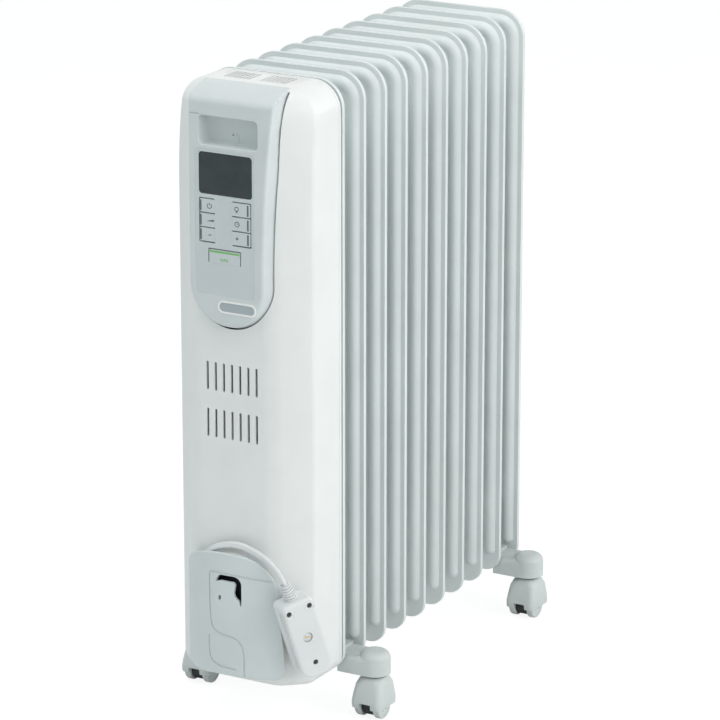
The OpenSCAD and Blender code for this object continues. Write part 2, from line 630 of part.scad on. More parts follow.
// Pin pressed into the hood, with the spacer that keeps the two wheels apart.
module caster_axle(x, y) color("dimgray") translate([x, y, 0]) at_axle() {
  translate([0, 0, 0.6 - hood_out]) cylinder(r = pin_r, h = 2 * hood_out - 1.2, $fn = 48);
  translate([0, 0, 4 - wheel_x]) cylinder(r = 8, h = 2 * wheel_x - 8);
}
module wheel(x, y, side) color(pale_grey)
  translate([x + side * wheel_x, y, 0]) at_axle() difference() {
    rotate_extrude($fn = 96) polygon([[0, -wheel_w / 2], [wheel_r - 1.2, -wheel_w / 2], [wheel_r, -2.5],
      [wheel_r, 2.5], [wheel_r - 1.2, wheel_w / 2], [0, wheel_w / 2]]);
    translate([0, 0, -wheel_w]) cylinder(r = pin_r + run_gap, h = 2 * wheel_w, $fn = 48);
    // ring-shaped hollow in the outer face
    translate([0, 0, side * wheel_w / 2 - 0.8]) difference() {
      cylinder(r = wheel_r - 3, h = 1.6);
      cylinder(r = 5, h = 1.6);
    }
  }

fin(0);  // fin_1
fin(1);  // fin_2
fin(2);  // fin_3
fin(3);  // fin_4
fin(4);  // fin_5
fin(5);  // fin_6
fin(6);  // fin_7
fin(7);  // fin_8
fin(8);  // fin_9
fin(9);  // fin_10
heating_element();
element_flange();
thermal_cutout();
back_plate();
housing_shell();
control_bezel();
display_window();
display_board();
power_board();
side_key(0, 0);  // power_button
side_key(0, 1);  // heat_level_button
side_key(0, 2);  // minus_button
side_key(1, 0);  // light_button
side_key(1, 1);  // timer_button
side_key(1, 2);  // plus_button
key(eco_w, eco_x, eco_z);  // eco_button
badge_plate();
storage_plate();
cord_spool();
cord_gland();
power_cord_winding();
power_cord_lead();
plug_boot();
plug_front_shell();
plug_back_shell();
plug_screws();
plug_blades();
plug_lamp_lens();
crossbar(gap_front);  // crossbar_front
crossbar(gap_rear);  // crossbar_rear
u_bolts();
wing_nuts();
housing_screws();
storage_screws();
caster_hood(-caster_x, gap_front);  // caster_hood_fl
caster_hood(caster_x, gap_front);  // caster_hood_fr
caster_hood(-caster_x, gap_rear);  // caster_hood_rl
caster_hood(caster_x, gap_rear);  // caster_hood_rr
caster_axle(-caster_x, gap_front);  // caster_axle_fl
caster_axle(caster_x, gap_front);  // caster_axle_fr
caster_axle(-caster_x, gap_rear);  // caster_axle_rl
caster_axle(caster_x, gap_rear);  // caster_axle_rr
wheel(-caster_x, gap_front, -1);  // wheel_fl_left
wheel(-caster_x, gap_front, 1);  // wheel_fl_right
wheel(caster_x, gap_front, -1);  // wheel_fr_left
wheel(caster_x, gap_front, 1);  // wheel_fr_right
wheel(-caster_x, gap_rear, -1);  // wheel_rl_left
wheel(-caster_x, gap_rear, 1);  // wheel_rl_right
wheel(caster_x, gap_rear, -1);  // wheel_rr_left
wheel(caster_x, gap_rear, 1);  // wheel_rr_right
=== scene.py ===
# %% [markdown]
# # An oil filled radiator heater
# Ten pressed steel fins stand in a row behind a moulded housing with a keypad, a cord spool and a plug
# parked at its side. Two crossbars carry them on twin-wheel casters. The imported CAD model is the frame:
# every piece made here goes where that model says, in metres, and rides on one of its bodies.

# %% Load the frame
import math

import bmesh
import bpy
from mathutils import Matrix, Vector
from mathutils.bvhtree import BVHTree
from mathutils.interpolate import poly_3d_calc


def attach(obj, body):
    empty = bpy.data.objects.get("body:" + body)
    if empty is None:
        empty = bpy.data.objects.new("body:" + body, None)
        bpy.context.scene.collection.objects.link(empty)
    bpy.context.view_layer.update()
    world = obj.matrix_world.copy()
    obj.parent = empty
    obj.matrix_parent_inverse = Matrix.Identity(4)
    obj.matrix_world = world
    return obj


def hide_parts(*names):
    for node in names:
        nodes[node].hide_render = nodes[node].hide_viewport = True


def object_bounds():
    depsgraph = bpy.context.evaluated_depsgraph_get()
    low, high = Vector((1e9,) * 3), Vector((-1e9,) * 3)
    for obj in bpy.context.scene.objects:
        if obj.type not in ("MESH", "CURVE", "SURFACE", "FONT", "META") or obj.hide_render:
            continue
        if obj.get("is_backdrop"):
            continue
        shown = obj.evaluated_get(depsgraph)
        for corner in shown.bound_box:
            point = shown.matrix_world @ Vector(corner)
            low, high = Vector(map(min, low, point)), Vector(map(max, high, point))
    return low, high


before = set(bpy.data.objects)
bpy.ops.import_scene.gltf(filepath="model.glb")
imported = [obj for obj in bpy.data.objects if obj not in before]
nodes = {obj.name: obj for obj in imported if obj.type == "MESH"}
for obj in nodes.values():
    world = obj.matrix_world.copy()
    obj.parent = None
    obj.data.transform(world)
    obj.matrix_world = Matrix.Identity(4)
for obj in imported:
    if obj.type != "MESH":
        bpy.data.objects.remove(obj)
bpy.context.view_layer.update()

# %% [markdown]
# ## Camera
# A long lens, far away, looks down a little on the housing's front and the fins' right edges. The camera's
# back vector is worked out from its azimuth and elevation, which are easier to read than a rotation.

# %% Place the camera
azimuth, elevation = math.radians(29.69), math.radians(16.69)
back = Vector((math.sin(azimuth) * math.cos(elevation), -math.cos(azimuth) * math.cos(elevation),
               math.sin(elevation)))
camera = bpy.data.objects.new("camera", bpy.data.cameras.new("camera"))
bpy.context.collection.objects.link(camera)
bpy.context.scene.camera = camera
camera.location = (1.92218, -3.34456, 1.48132)
camera.rotation_euler = back.to_track_quat("Z", "Y").to_euler()
camera.data.lens = 198.33
camera.data.sensor_width = 36
print("camera at", [round(v, 2) for v in camera.location])

# %% [markdown]
# ## Small helpers
# Every piece is a bmesh that is given a name, materials and a body to ride on. Openings are cut with a
# Boolean that is applied at once, so the finished mesh is plain geometry.

# %% Move, bevel and push
at = Matrix.Translation


def turn_by(degrees, axis):
    return Matrix.Rotation(math.radians(degrees), 4, axis)


def move(bm, matrix):
    bmesh.ops.transform(bm, matrix=matrix, verts=bm.verts)
    return bm


def shift(bm, geom, step):
    """Moves only those vertices that are among some geometry."""
    bmesh.ops.translate(bm, vec=step, verts=[g for g in geom if isinstance(g, bmesh.types.BMVert)])


def push(bm, face, step):
    """Extrudes a face along a vector."""
    shift(bm, bmesh.ops.extrude_face_region(bm, geom=[face])["geom"], step)
    return bm


def bevel(bm, geom, width, steps, kind="EDGES"):
    bmesh.ops.bevel(bm, geom=geom, offset=width, segments=steps, profile=0.5, affect=kind, material=-1)


# Lays a shape that was drawn upright round Z so that its axis points along -Y.
FACE_FRONT = turn_by(90, "X")
print("up turns to", [round(v) for v in FACE_FRONT @ Vector((0, 0, 1))])

# %% Turn a bmesh into a piece
def evaluated(thing):
    """The mesh of an object with its modifiers applied."""
    graph = bpy.context.evaluated_depsgraph_get()
    return bpy.data.meshes.new_from_object(thing.evaluated_get(graph))


def apply_modifiers(thing):
    mesh = evaluated(thing)
    thing.modifiers.clear()
    old, thing.data = thing.data, mesh
    bpy.data.meshes.remove(old)
    return thing


def link(name, data):
    """A new object in the scene."""
    thing = bpy.data.objects.new(name, data)
    bpy.context.collection.objects.link(thing)
    return thing


def shade_mesh(mesh, smooth=35):
    """Smooth shading, with sharp edges above an angle in degrees."""
    mesh.shade_smooth()
    mesh.set_sharp_from_angle(angle=math.radians(smooth))


def make(name, bm, materials, smooth=35, closed=True):
    """An object from a bmesh, with outward normals and smooth shading."""
    bmesh.ops.remove_doubles(bm, verts=bm.verts, dist=1e-6)
    if closed:
        bmesh.ops.recalc_face_normals(bm, faces=bm.faces)
    mesh = bpy.data.meshes.new(name)
    bm.to_mesh(mesh)
    bm.free()
    for material in materials:
        mesh.materials.append(material)
    shade_mesh(mesh, smooth)
    return link(name, mesh)


def fit(piece, body, slot, *stands_for):
    """Rides a piece on its body and hides the CAD nodes that it stands for. Its slot is not used."""
    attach(piece, body)
    normals = piece.modifiers.new("normals", "WEIGHTED_NORMAL")
    normals.keep_sharp = True
    if stands_for:
        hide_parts(*stands_for)
    print(piece.name, len(piece.data.polygons), "faces")
    return piece


def rework(piece, change):
    """Changes a piece's mesh as a bmesh."""
    bm = bmesh.new()
    bm.from_mesh(piece.data)
    change(bm)
    bm.to_mesh(piece.data)
    bm.free()


print("pieces can be made, fitted and reworked")

# %% Cut, soften and join
def cut(piece, tool, operation="DIFFERENCE"):
    """Cuts a piece with a bmesh."""
    other = make("tool", tool, [])
    modifier = piece.modifiers.new("cut", "BOOLEAN")
    modifier.operation, modifier.solver, modifier.object = operation, "EXACT", other
    apply_modifiers(piece)
    bpy.data.objects.remove(other)
    return piece


def soften(piece, width, angle=40, segments=2):
    """Rounds the edges that are sharper than an angle."""
    modifier = piece.modifiers.new("soften", "BEVEL")
    modifier.width, modifier.segments, modifier.angle_limit = width, segments, math.radians(angle)
    shade_mesh(apply_modifiers(piece).data)
    return piece


def add(bm, part, matrix=Matrix(), material=None):
    """Moves a bmesh into another one."""
    if material is not None:
        for face in part.faces:
            face.material_index = material
    move(part, matrix)
    mesh = bpy.data.meshes.new("part")
    part.to_mesh(mesh)
    part.free()
    bm.from_mesh(mesh)
    bpy.data.meshes.remove(mesh)
    return bm


print("pieces can be cut, softened and joined")

# %% Blocks, turned shapes and lofts
def block(low, high, radius=0.0, axis=1, steps=5):
    """A box between two corners, with its edges along one axis rounded."""
    bm = bmesh.new()
    bmesh.ops.create_cube(bm, size=1)
    low, high = Vector(low), Vector(high)
    bmesh.ops.scale(bm, vec=high - low, verts=bm.verts)
    move(bm, at((low + high) / 2))
    if radius:
        bevel(bm, [e for e in bm.edges if abs((e.verts[0].co - e.verts[1].co)[axis]) > 1e-7], radius, steps)
    return bm


def turned(profile, steps=48, angle=math.tau):
    """A profile of (radius, height) points spun round the Z axis."""
    bm = bmesh.new()
    verts = [bm.verts.new((r, 0, z)) for r, z in profile]
    edges = [bm.edges.new(pair) for pair in zip(verts, verts[1:])]
    bmesh.ops.spin(bm, geom=verts + edges, axis=(0, 0, 1), cent=(0, 0, 0), angle=angle, steps=steps,
                   use_merge=angle == math.tau)
    bmesh.ops.remove_doubles(bm, verts=bm.verts, dist=1e-6)
    return bm


def edge_ring(bm, points):
    verts = [bm.verts.new(p) for p in points]
    return [bm.edges.new(pair) for pair in zip(verts, verts[1:] + verts[:1])]


def loft(bm, rings):
    """Bridges rings of edges and closes both ends."""
    for a, b in zip(rings, rings[1:]):
        bmesh.ops.bridge_loops(bm, edges=a + b)
    for ring in (rings[0], rings[-1]):
        bmesh.ops.contextual_create(bm, geom=ring)
    return bm


def rod(radius, low, high, steps=32):
    """A solid cylinder round the Z axis."""
    return turned([(0, low), (radius, low), (radius, high), (0, high)], steps)


def arc(centre, radius, start, end, steps):
    """Points of an arc in two dimensions, angles in degrees."""
    angles = [math.radians(start + (end - start) * k / steps) for k in range(steps + 1)]
    return [(centre[0] + radius * math.cos(a), centre[1] + radius * math.sin(a)) for a in angles]


print("a block has", len(block((0, 0, 0), (1, 1, 1), 0.1).faces), "faces with its edges rounded")

# %% [markdown]
# ## The mains cord
# A flat twin-core cord, 7 mm wide, leaves the gland low in the tray, goes six times round the hub in two
# rows, and its loose end crosses in front of the plate's top edge to the plug. The turns are worked out by
# a loop, and where the cord steps to the next turn it does so smoothly. The loose end repeats the CAD route.

# %% Route of the cord
cord_width, cord_thick = 0.007, 0.0052
hub_z, hub_straight = 0.1295, 0.011
inner_row, outer_row = -0.2165, -0.2235
turns = [(0.0285, inner_row), (0.0285, outer_row), (0.0357, outer_row), (0.0357, inner_row),
         (0.0429, inner_row), (0.0429, outer_row)]
step_start, step_drift, step_width = -1.35, 0.3, 0.9
gland_exit = Vector((-0.0211, -0.2170, 0.1147))
leaving = [gland_exit, Vector((-0.0249, -0.2168, 0.1200)), Vector((-0.0276, -0.2165, 0.1262))]
loose_end = [Vector(p) for p in (
    (-0.043, -0.224, 0.130), (-0.043, -0.2245, 0.146), (-0.039, -0.227, 0.163), (-0.031, -0.229, 0.178),
    (-0.018, -0.231, 0.190), (-0.003, -0.2315, 0.196), (0.012, -0.232, 0.198), (0.027, -0.233, 0.1955),
    (0.0405, -0.234, 0.191), (0.052, -0.2355, 0.1845), (0.0605, -0.237, 0.177), (0.0657, -0.2371, 0.1695),
    (0.0667, -0.2357, 0.166))]


def smooth_step(t):
    t = min(1.0, max(0.0, t))
    return t * t * (3 - 2 * t)


def on_spool(angle):
    """A point of the winding: the angle is 0 on the left and grows over the top of the hub."""
    radius, y = turns[0]
    for k in range(1, len(turns)):
        share = smooth_step((angle - (math.tau * k + step_start + step_drift * (k - 1))) / step_width)
        radius += (turns[k][0] - turns[k - 1][0]) * share
        y += (turns[k][1] - turns[k - 1][1]) * share
    lift = hub_straight * max(-1.0, min(1.0, 4 * math.sin(angle)))
    return Vector((-radius * math.cos(angle), y, hub_z + lift + radius * math.sin(angle)))


points_a_turn = 20
winding = [on_spool(math.tau * k / points_a_turn) for k in range(1, points_a_turn * len(turns))]
route = leaving + winding + loose_end
print(len(route), "points on the cord's route")

# %% Sweep the cord
def smooth_line(points, resolution=4):
    """A curve object through the points, with automatic Bezier handles."""
    data = bpy.data.curves.new("line", "CURVE")
    data.dimensions = "3D"
    data.resolution_u = resolution
    spline = data.splines.new("BEZIER")
    spline.bezier_points.add(len(points) - 1)
    for end, point in zip(spline.bezier_points, points):
        end.co = point
        end.handle_left_type = end.handle_right_type = "AUTO"
    return link("line", data)


line = smooth_line(route)
centre_mesh = evaluated(line)
cord_path = [v.co.copy() for v in centre_mesh.vertices]
bpy.data.meshes.remove(centre_mesh)
cord_length = sum((b - a).length for a, b in zip(cord_path, cord_path[1:]))

groove_depth, groove_width, section_steps, face_tilt = 0.0006, 0.22, 28, math.radians(90)
section = bpy.data.curves.new("section", "CURVE")
section.dimensions = "2D"
outline = section.splines.new("POLY")
outline.use_cyclic_u = True
outline.points.add(section_steps - 1)
for k, point in enumerate(outline.points):
    a = math.tau * k / section_steps
    groove = groove_depth * math.exp(-(math.cos(a) / groove_width) ** 2)
    point.co = (cord_width / 2 * math.cos(a), (cord_thick / 2 - groove) * math.sin(a), 0, 1)
section_object = link("section", section)
line.data.bevel_mode, line.data.bevel_object = "OBJECT", section_object
line.data.use_fill_caps, line.data.twist_mode = True, "MINIMUM"
ends = line.data.splines[0].bezier_points
for k, end in enumerate(ends):
    along_end = (k - (len(ends) - len(loose_end))) / (len(loose_end) - 1)
    end.tilt = face_tilt * smooth_step(1.3 * along_end)
cord = link("mains_cord", evaluated(line))
for helper in (line, section_object):
    bpy.data.objects.remove(helper)
cord.data.shade_smooth()
print("cord", round(cord_length, 3), "m long,", len(cord.data.polygons), "faces")

# %% [markdown]
# ## Paints
# Every finish is a Principled shader with a few nodes before it. Shader arithmetic reads better as Python, so
# a small class wraps a node's output and turns + - * / into Math nodes. Object coordinates are in metres, so
# a grain's size is a real size.

# %% Shader arithmetic
class Socket:
    """A node's output. Arithmetic on it adds Math nodes to the same material."""

    def __init__(self, paint, output):
        self.paint, self.output = paint, output

    def math(self, operation, first, second):
        return self.paint.node("ShaderNodeMath", {"operation": operation}, {0: first, 1: second})

    def __add__(self, other):
        return self.math("ADD", self, other)

    def __sub__(self, other):
        return self.math("SUBTRACT", self, other)

    def __rsub__(self, other):
        return self.math("SUBTRACT", other, self)

    def __mul__(self, other):
        return self.math("MULTIPLY", self, other)

    __radd__, __rmul__ = __add__, __mul__

    def between(self, low, high):
        """0 below low, 1 above high, and smooth from one to the other."""
        return self.paint.node("ShaderNodeMapRange", {"interpolation_type": "SMOOTHSTEP"},
                               {"Value": self, "From Min": low, "From Max": high})


def colour(red, green, blue):
    """A linear colour from the 0 to 255 numbers that a paint program shows."""
    return [((v / 255 + 0.055) / 1.055) ** 2.4 for v in (red, green, blue)] + [1]


print("the grey of the panel, as linear light, is", [round(v, 3) for v in colour(217, 223, 223)])

# %% Nodes of a tree, and one material
class Nodes:
    """A node tree, and the one method that adds nodes to it."""

    def __init__(self, tree):
        self.tree = tree

    def wire(self, socket, value):
        if isinstance(value, Socket):
            self.tree.links.new(value.output, socket)
        else:
            socket.default_value = value

    def node(self, kind, settings=None, values=None, output=0):
        """Adds a node: its settings come first, then values or links for its sockets."""
        made = self.tree.nodes.new(kind)
        for key, value in (settings or {}).items():
            setattr(made, key, value)
        for key, value in (values or {}).items():
            self.wire(made.inputs[key], value)
        return Socket(self, made.outputs[output] if len(made.outputs) else None)


class Paint(Nodes):
    """A material: its Principled shader and the nodes that feed it."""

    def __init__(self, name, base, roughness, **constants):
        self.material = bpy.data.materials.new(name)
        self.material.use_nodes = True
        super().__init__(self.material.node_tree)
        self.shader = self.tree.nodes["Principled BSDF"]
        self.set("Base Color", base)
        self.set("Roughness", roughness)
        for socket, value in constants.items():
            self.set(socket.replace("_", " "), value)
        self.place = self.node("ShaderNodeTexCoord", output="Object")

    def set(self, name, value):
        self.wire(self.shader.inputs[name], value)

    def noise(self, size, detail=2.0, stretch=(1, 1, 1)):
        """Soft noise from 0 to 1, its blobs about one size in metres, stretched where a number is small."""
        where = self.node("ShaderNodeVectorMath", {"operation": "MULTIPLY"}, {0: self.place, 1: stretch})
        return self.node("ShaderNodeTexNoise", {}, {"Vector": where, "Scale": 1 / size, "Detail": detail})

    def mix(self, share, first, second):
        return self.node("ShaderNodeMix", {"data_type": "RGBA"}, {0: share, 6: first, 7: second}, output=2)

    def bump(self, height, depth):
        self.set("Normal", self.node("ShaderNodeBump", {}, {"Strength": 1.0, "Distance": depth,
                                                            "Height": height}))

    def height(self):
        """Height above the floor, in metres."""
        return self.node("ShaderNodeSeparateXYZ", {}, {0: self.place}, output="Z")

    def upward(self):
        """1 where a surface faces up, 0 where it is upright or faces down."""
        normal = self.node("ShaderNodeNewGeometry", output="Normal")
        return self.node("ShaderNodeSeparateXYZ", {}, {0: normal}, output="Z").between(0.2, 0.95)


def shade(base, factor):
    return [v * factor for v in base[:3]] + [1]


print("paint classes ready")

# %% [markdown]
# Moulded and enamelled surfaces all have three things in common: a fine texture that breaks up reflections,
# a roughness that is a little uneven from handling, and a colour that isn't quite even. Dust settles on what
# faces up. One function gives them, and each finish says how much of each.

# %% Plastics and enamel
dust_colour, low_fin_tone = colour(186, 180, 168), colour(176, 170, 158)


def moulded(name, base, roughness, grain=0.0007, depth=0.00001, uneven=0.05, dust=0.03, **constants):
    paint = Paint(name, base, roughness, **constants)
    cloud = paint.noise(0.045, 3)
    tone = paint.mix(cloud.between(0.3, 0.7), shade(base, 1 - uneven), shade(base, 1 + uneven / 2))
    tint_patches = paint.upward() * paint.noise(0.004, 4).between(0.35, 0.8) * dust
    paint.set("Base Color", paint.mix(tint_patches, tone, dust_colour))
    paint.set("Roughness", roughness + (cloud - 0.5) * 0.10 + tint_patches)
    paint.bump(paint.noise(grain, 3), depth)
    return paint.material


white_gloss = moulded("white_gloss", colour(240, 242, 240), 0.32, 0.0012, 0.000012, 0.02, Coat_Weight=0.15,
                      Coat_Roughness=0.12)
panel_satin = moulded("panel_satin", colour(217, 223, 223), 0.38, 0.0005, 0.000012, 0.03)
membrane = moulded("panel_membrane", colour(209, 216, 218), 0.45, 0.0004, 0.000008, 0.02)
plate_satin = moulded("plate_satin", colour(217, 224, 225), 0.42, 0.0006, 0.000014, 0.03)
part_grey = moulded("part_grey", colour(210, 216, 214), 0.45, 0.0008, 0.00002, 0.04, dust=0.1)
cord_sheath = moulded("cord_sheath", colour(230, 232, 232), 0.5, 0.0010, 0.000025, 0.03)
plug_satin = moulded("plug_satin", colour(230, 232, 232), 0.36, 0.0006, 0.000014, 0.02)
gland_dark = moulded("gland_dark", colour(52, 56, 58), 0.5, 0.0008, 0.00002, 0.1)
print("moulded finishes ready")

# %% [markdown]
# The fins are dipped in enamel and stoved. It flows before it sets, which leaves a long, low ripple called
# orange peel on top of a gloss, so its bump is larger and softer than a plastic's texture. Dust settles on
# what faces up, and close to the floor the enamel is a little darker and rougher in patches.

# %% Stoved enamel
def stoved_enamel():
    base = colour(230, 236, 235)
    paint = Paint("stoved_enamel", base, 0.30, Coat_Weight=0.25, Coat_Roughness=0.18)
    cloud = paint.noise(0.06, 3)
    low = 1 - paint.height().between(0.07, 0.22)
    # Patches of dust on what faces up, and patches that are darker and rougher close to the floor.
    tint_patches = (paint.upward() * 0.08 + low * 0.05) * paint.noise(0.006, 4).between(0.3, 0.8)
    tone = paint.mix(cloud.between(0.3, 0.7), shade(base, 0.97), shade(base, 1.02))
    paint.set("Base Color", paint.mix(tint_patches, tone, low_fin_tone))
    paint.set("Roughness", 0.28 + cloud * 0.08 + tint_patches)
    paint.bump(paint.noise(0.0035, 1) + paint.noise(0.0008, 2) * 0.2, 0.00008)
    return paint.material


enamel = stoved_enamel()
print(enamel.name)

# %% [markdown]
# Metals differ from paint in that their colour is in the reflection. Turned and plated parts get fine
# streaks along one direction; the blued screws stay dark.

# %% Metals
def metal(name, base, roughness, stretch=(1, 1, 0.06), tarnish=0.9):
    paint = Paint(name, base, roughness, Metallic=1.0)
    streak = paint.noise(0.0006, 2, stretch)
    spots = paint.noise(0.008, 3)
    paint.set("Base Color", paint.mix(spots.between(0.4, 0.75), base, shade(base, tarnish)))
    paint.set("Roughness", roughness + (streak - 0.5) * 0.15 + spots * 0.06)
    paint.bump(streak, 0.00001)
    return paint.material


zinc = metal("zinc_plated_steel", colour(196, 199, 202), 0.34)
sheet = metal("zinc_sheet", colour(184, 188, 190), 0.42, (1, 1, 0.3), 0.8)
brass = metal("brass", colour(205, 172, 104), 0.28)
blued = metal("blued_steel", colour(98, 98, 98), 0.38)
axle_dark = moulded("axle_black", colour(34, 36, 38), 0.42, 0.0006, 0.00001, 0.15)
print("metals ready")

# %% [markdown]
# The display is a smoked window: very dark and smooth, with a faint uneven haze. The circuit boards have a
# green mask with copper tracks under it, drawn as a brick pattern.

# %% Window, boards, prints and lamp
def smoked_window():
    base = colour(40, 50, 52)
    paint = Paint("smoked_window", base, 0.12, Coat_Weight=0.3, Coat_Roughness=0.03)
    haze = paint.noise(0.02, 2)
    paint.set("Base Color", paint.mix(haze.between(0.3, 0.75), base, colour(47, 57, 59)))
    paint.set("Roughness", 0.10 + paint.noise(0.003, 4).between(0.45, 0.8) * 0.06)
    return paint.material


def board_green():
    base = colour(46, 96, 62)
    paint = Paint("board_green", base, 0.4)
    tracks = paint.node("ShaderNodeTexBrick", {"offset": 0.5},
                        {"Vector": paint.place, "Scale": 120.0, "Mortar Size": 0.03,
                         "Color1": base, "Color2": shade(base, 1.1), "Mortar": shade(base, 1.6)})
    paint.set("Base Color", tracks)
    paint.bump(paint.noise(0.0005, 2), 0.00001)
    return paint.material


window_glass, circuit = smoked_window(), board_green()
print_grey = moulded("print_grey", colour(98, 110, 112), 0.5, 0.0004, 0.000005, 0.05)
print_green = moulded("print_green", colour(126, 196, 110), 0.45, 0.0004, 0.000005, 0.05)
badge_white = moulded("badge_white", colour(252, 252, 250), 0.3, 0.001, 0.000008, 0.01)
badge_field = moulded("badge_field", colour(176, 186, 190), 0.42, 0.0004, 0.000008, 0.02)
amber = moulded("amber_lens", colour(232, 205, 160), 0.2, 0.002, 0.00001, 0.03, Coat_Weight=0.4)
print("windows and prints ready")

# %% Finish the cord
cord.data.materials.append(cord_sheath)
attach(cord, "radiator")
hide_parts("power_cord_winding", "power_cord_lead")
print("cord leaves the gland at", [round(v, 4) for v in gland_exit])

# %% [markdown]
# ## Fins
# A fin is two pressed sheets welded together. Its rim is folded back all round and a channel shaped like an
# upside-down U runs near the edge. Two more stand in the middle, a short one crosses them low down and
# another rises from the upper boss. Two round bosses join the fin to its neighbours. The rim is made as a
# sheet metal worker would: a flat face gets round corners by bevelling its four vertices, is extruded, and
# then the back is inset and pushed forward.

# %% The folded sheet
fin_pitch, fin_half, sheet_thick = 0.0416, 0.0758, 0.0016
fin_low, fin_high, lower_corner, upper_corner = 0.050, 0.650, 0.017, 0.028
fin_first, fin_count = -0.1392, 10
rim_depth, rim_thick = 0.0046, 0.0012
header_low, header_high = 0.119, 0.590


def folded_sheet(y):
    bm = bmesh.new()
    corners = [bm.verts.new((x, y - sheet_thick / 2, z)) for x, z in (
        (-fin_half, fin_low), (fin_half, fin_low), (fin_half, fin_high), (-fin_half, fin_high))]
    bm.faces.new(corners)
    for radius, pair in ((lower_corner, corners[:2]), (upper_corner, corners[2:])):
        bevel(bm, pair, radius, 9, "VERTICES")
    made = bmesh.ops.extrude_face_region(bm, geom=bm.faces[:])["geom"]
    back_face = next(g for g in made if isinstance(g, bmesh.types.BMFace))
    bmesh.ops.translate(bm, vec=(0, rim_depth, 0), verts=back_face.verts)
    bmesh.ops.recalc_face_normals(bm, faces=bm.faces)
    bmesh.ops.inset_region(bm, faces=[back_face], thickness=rim_thick)
    bmesh.ops.translate(bm, vec=(0, sheet_thick - rim_depth, 0), verts=back_face.verts)
    return bm


print("a fin's sheet has", len(folded_sheet(0).faces), "faces")

# %% [markdown]
# A channel's section is a low round hump on both sides of the sheet, with hollow fillets at its foot. Half of
# that section, spun half a turn, closes an end; the whole section is then pushed along straight runs and
# spun round corners, as a bent tube would be.

# %% Pressed channels
channel_half, channel_crest, channel_foot = 0.0073, 0.0048, 0.0006
channel_steps = 8


def channel_section():
    """Points (distance from the channel's middle, height over the fin's middle plane) of half a section."""
    front = [(channel_half * k / channel_steps,
              channel_foot + (channel_crest - channel_foot) * (1 - (k / channel_steps) ** 2.3) ** 1.3)
             for k in range(channel_steps + 1)]
    return [(u, -h) for u, h in front] + [(u, h) for u, h in reversed(front)]


def channel(x, z, heading, runs, y):
    """A channel with round ends from (x, z): a run is a length, or (centre x, centre z, angle)."""
    bm = bmesh.new()
    across = Vector((math.cos(heading), 0, -math.sin(heading)))
    half = channel_section()

    def place_row(points, side):
        verts = [bm.verts.new(Vector((x, y + h, z)) + side * u * across) for u, h in points]
        return verts, [bm.edges.new(pair) for pair in zip(verts, verts[1:])]

    verts, edges = place_row(half, 1)
    bmesh.ops.spin(bm, geom=verts + edges, axis=(0, 1, 0), cent=(x, y, z), angle=math.pi, steps=10)
    loop = place_row(half, 1)[1] + place_row(half, -1)[1]
    for run in runs:
        if isinstance(run, tuple):
            centre_x, centre_z, angle = run
            ring = {v for e in loop for v in e.verts}
            done = bmesh.ops.spin(bm, geom=list(ring) + loop, axis=(0, 1, 0), cent=(centre_x, y, centre_z),
                                  angle=angle, steps=9)["geom_last"]
            turned_by = Matrix.Rotation(angle, 3, "Y")
            across = turned_by @ across
            offset = turned_by @ Vector((x - centre_x, 0, z - centre_z))
            x, z = centre_x + offset.x, centre_z + offset.z
            loop = [g for g in done if isinstance(g, bmesh.types.BMEdge)]
        else:
            done = bmesh.ops.extrude_edge_only(bm, edges=loop)["geom"]
            step = Vector((-across.z, 0, across.x)) * run
            shift(bm, done, step)
            x, z = x + step.x, z + step.z
            loop = [g for g in done if isinstance(g, bmesh.types.BMEdge)
                    and all(abs((v.co - Vector((x, v.co.y, z))).dot(Vector((-across.z, 0, across.x)))) < 1e-5
                            for v in g.verts)]
    verts, edges = place_row(half, 1)
    bmesh.ops.spin(bm, geom=verts + edges, axis=(0, 1, 0), cent=(x, y, z), angle=-math.pi, steps=10)
    bmesh.ops.remove_doubles(bm, verts=bm.verts, dist=2e-5)
    return bm


print("an upright channel has", len(channel(0, 0, 0, [0.4], 0).faces), "faces")

# %% Bosses and whole fins
boss_reach = fin_pitch / 2


def boss(reach):
    """A header boss, spun: hollow fillet at the sheet, cone, and a small weld bead where two bosses meet."""
    if reach == flat_reach:
        return turned([(0.031, 0.0005), (0.029, 0.0012), (0.026, 0.0032), (0.023, 0.0044), (0.019, 0.0048),
                       (0, 0.0048)])
    flare = [(0.0330, 0.0005), (0.0312, 0.0012), (0.0295, 0.0027), (0.0278, 0.0050), (0.0262, 0.0080),
             (0.0245, 0.0120), (0.0232, reach - 0.0035), (0.0226, reach - 0.0012)]
    return turned(flare + [(0.0230, reach - 0.0004), (0.0230, reach), (0, reach)])


channel_edge = 0.012
channel_x, channel_low, corner_turn = fin_half - channel_edge, 0.0745, 0.016
inner_x, cross_half = 0.022, 0.044
first_reach, flat_reach, fold_radius = 0.0168, 0.0048, 0.00045


def fin(k):
    y = fin_first + k * fin_pitch
    bm = folded_sheet(y)
    bmesh.ops.recalc_face_normals(bm, faces=bm.faces)
    sharp = [e for e in bm.edges if e.is_manifold and e.calc_face_angle() > math.radians(60)]
    bevel(bm, sharp, fold_radius, 2)
    side = channel_x - corner_turn
    top = fin_high - channel_edge - corner_turn
    rise, quarter = top - channel_low, math.pi / 2
    add(bm, channel(-channel_x, channel_low, 0,
                    [rise, (-side, top, quarter), 2 * side, (side, top, quarter), rise], y))
    for x in (-inner_x, inner_x):
        add(bm, channel(x, header_low, 0, [header_high - header_low], y))
    add(bm, channel(0, header_high, 0, [fin_high - channel_edge - header_high], y))
    add(bm, channel(-cross_half, header_low, quarter, [2 * cross_half], y))
    for z in (header_low, header_high):
        for reach, turn in ((first_reach if k == 0 else boss_reach, FACE_FRONT),
                            (flat_reach if k == fin_count - 1 else boss_reach, FACE_FRONT.inverted())):
            add(bm, boss(reach), at((0, y, z)) @ turn)
    return bm


for k in range(fin_count):
    fit(make(f"fin_sheet_{k + 1}", fin(k), [enamel], 40), "radiator", "fin_paint", f"fin_{k + 1}")

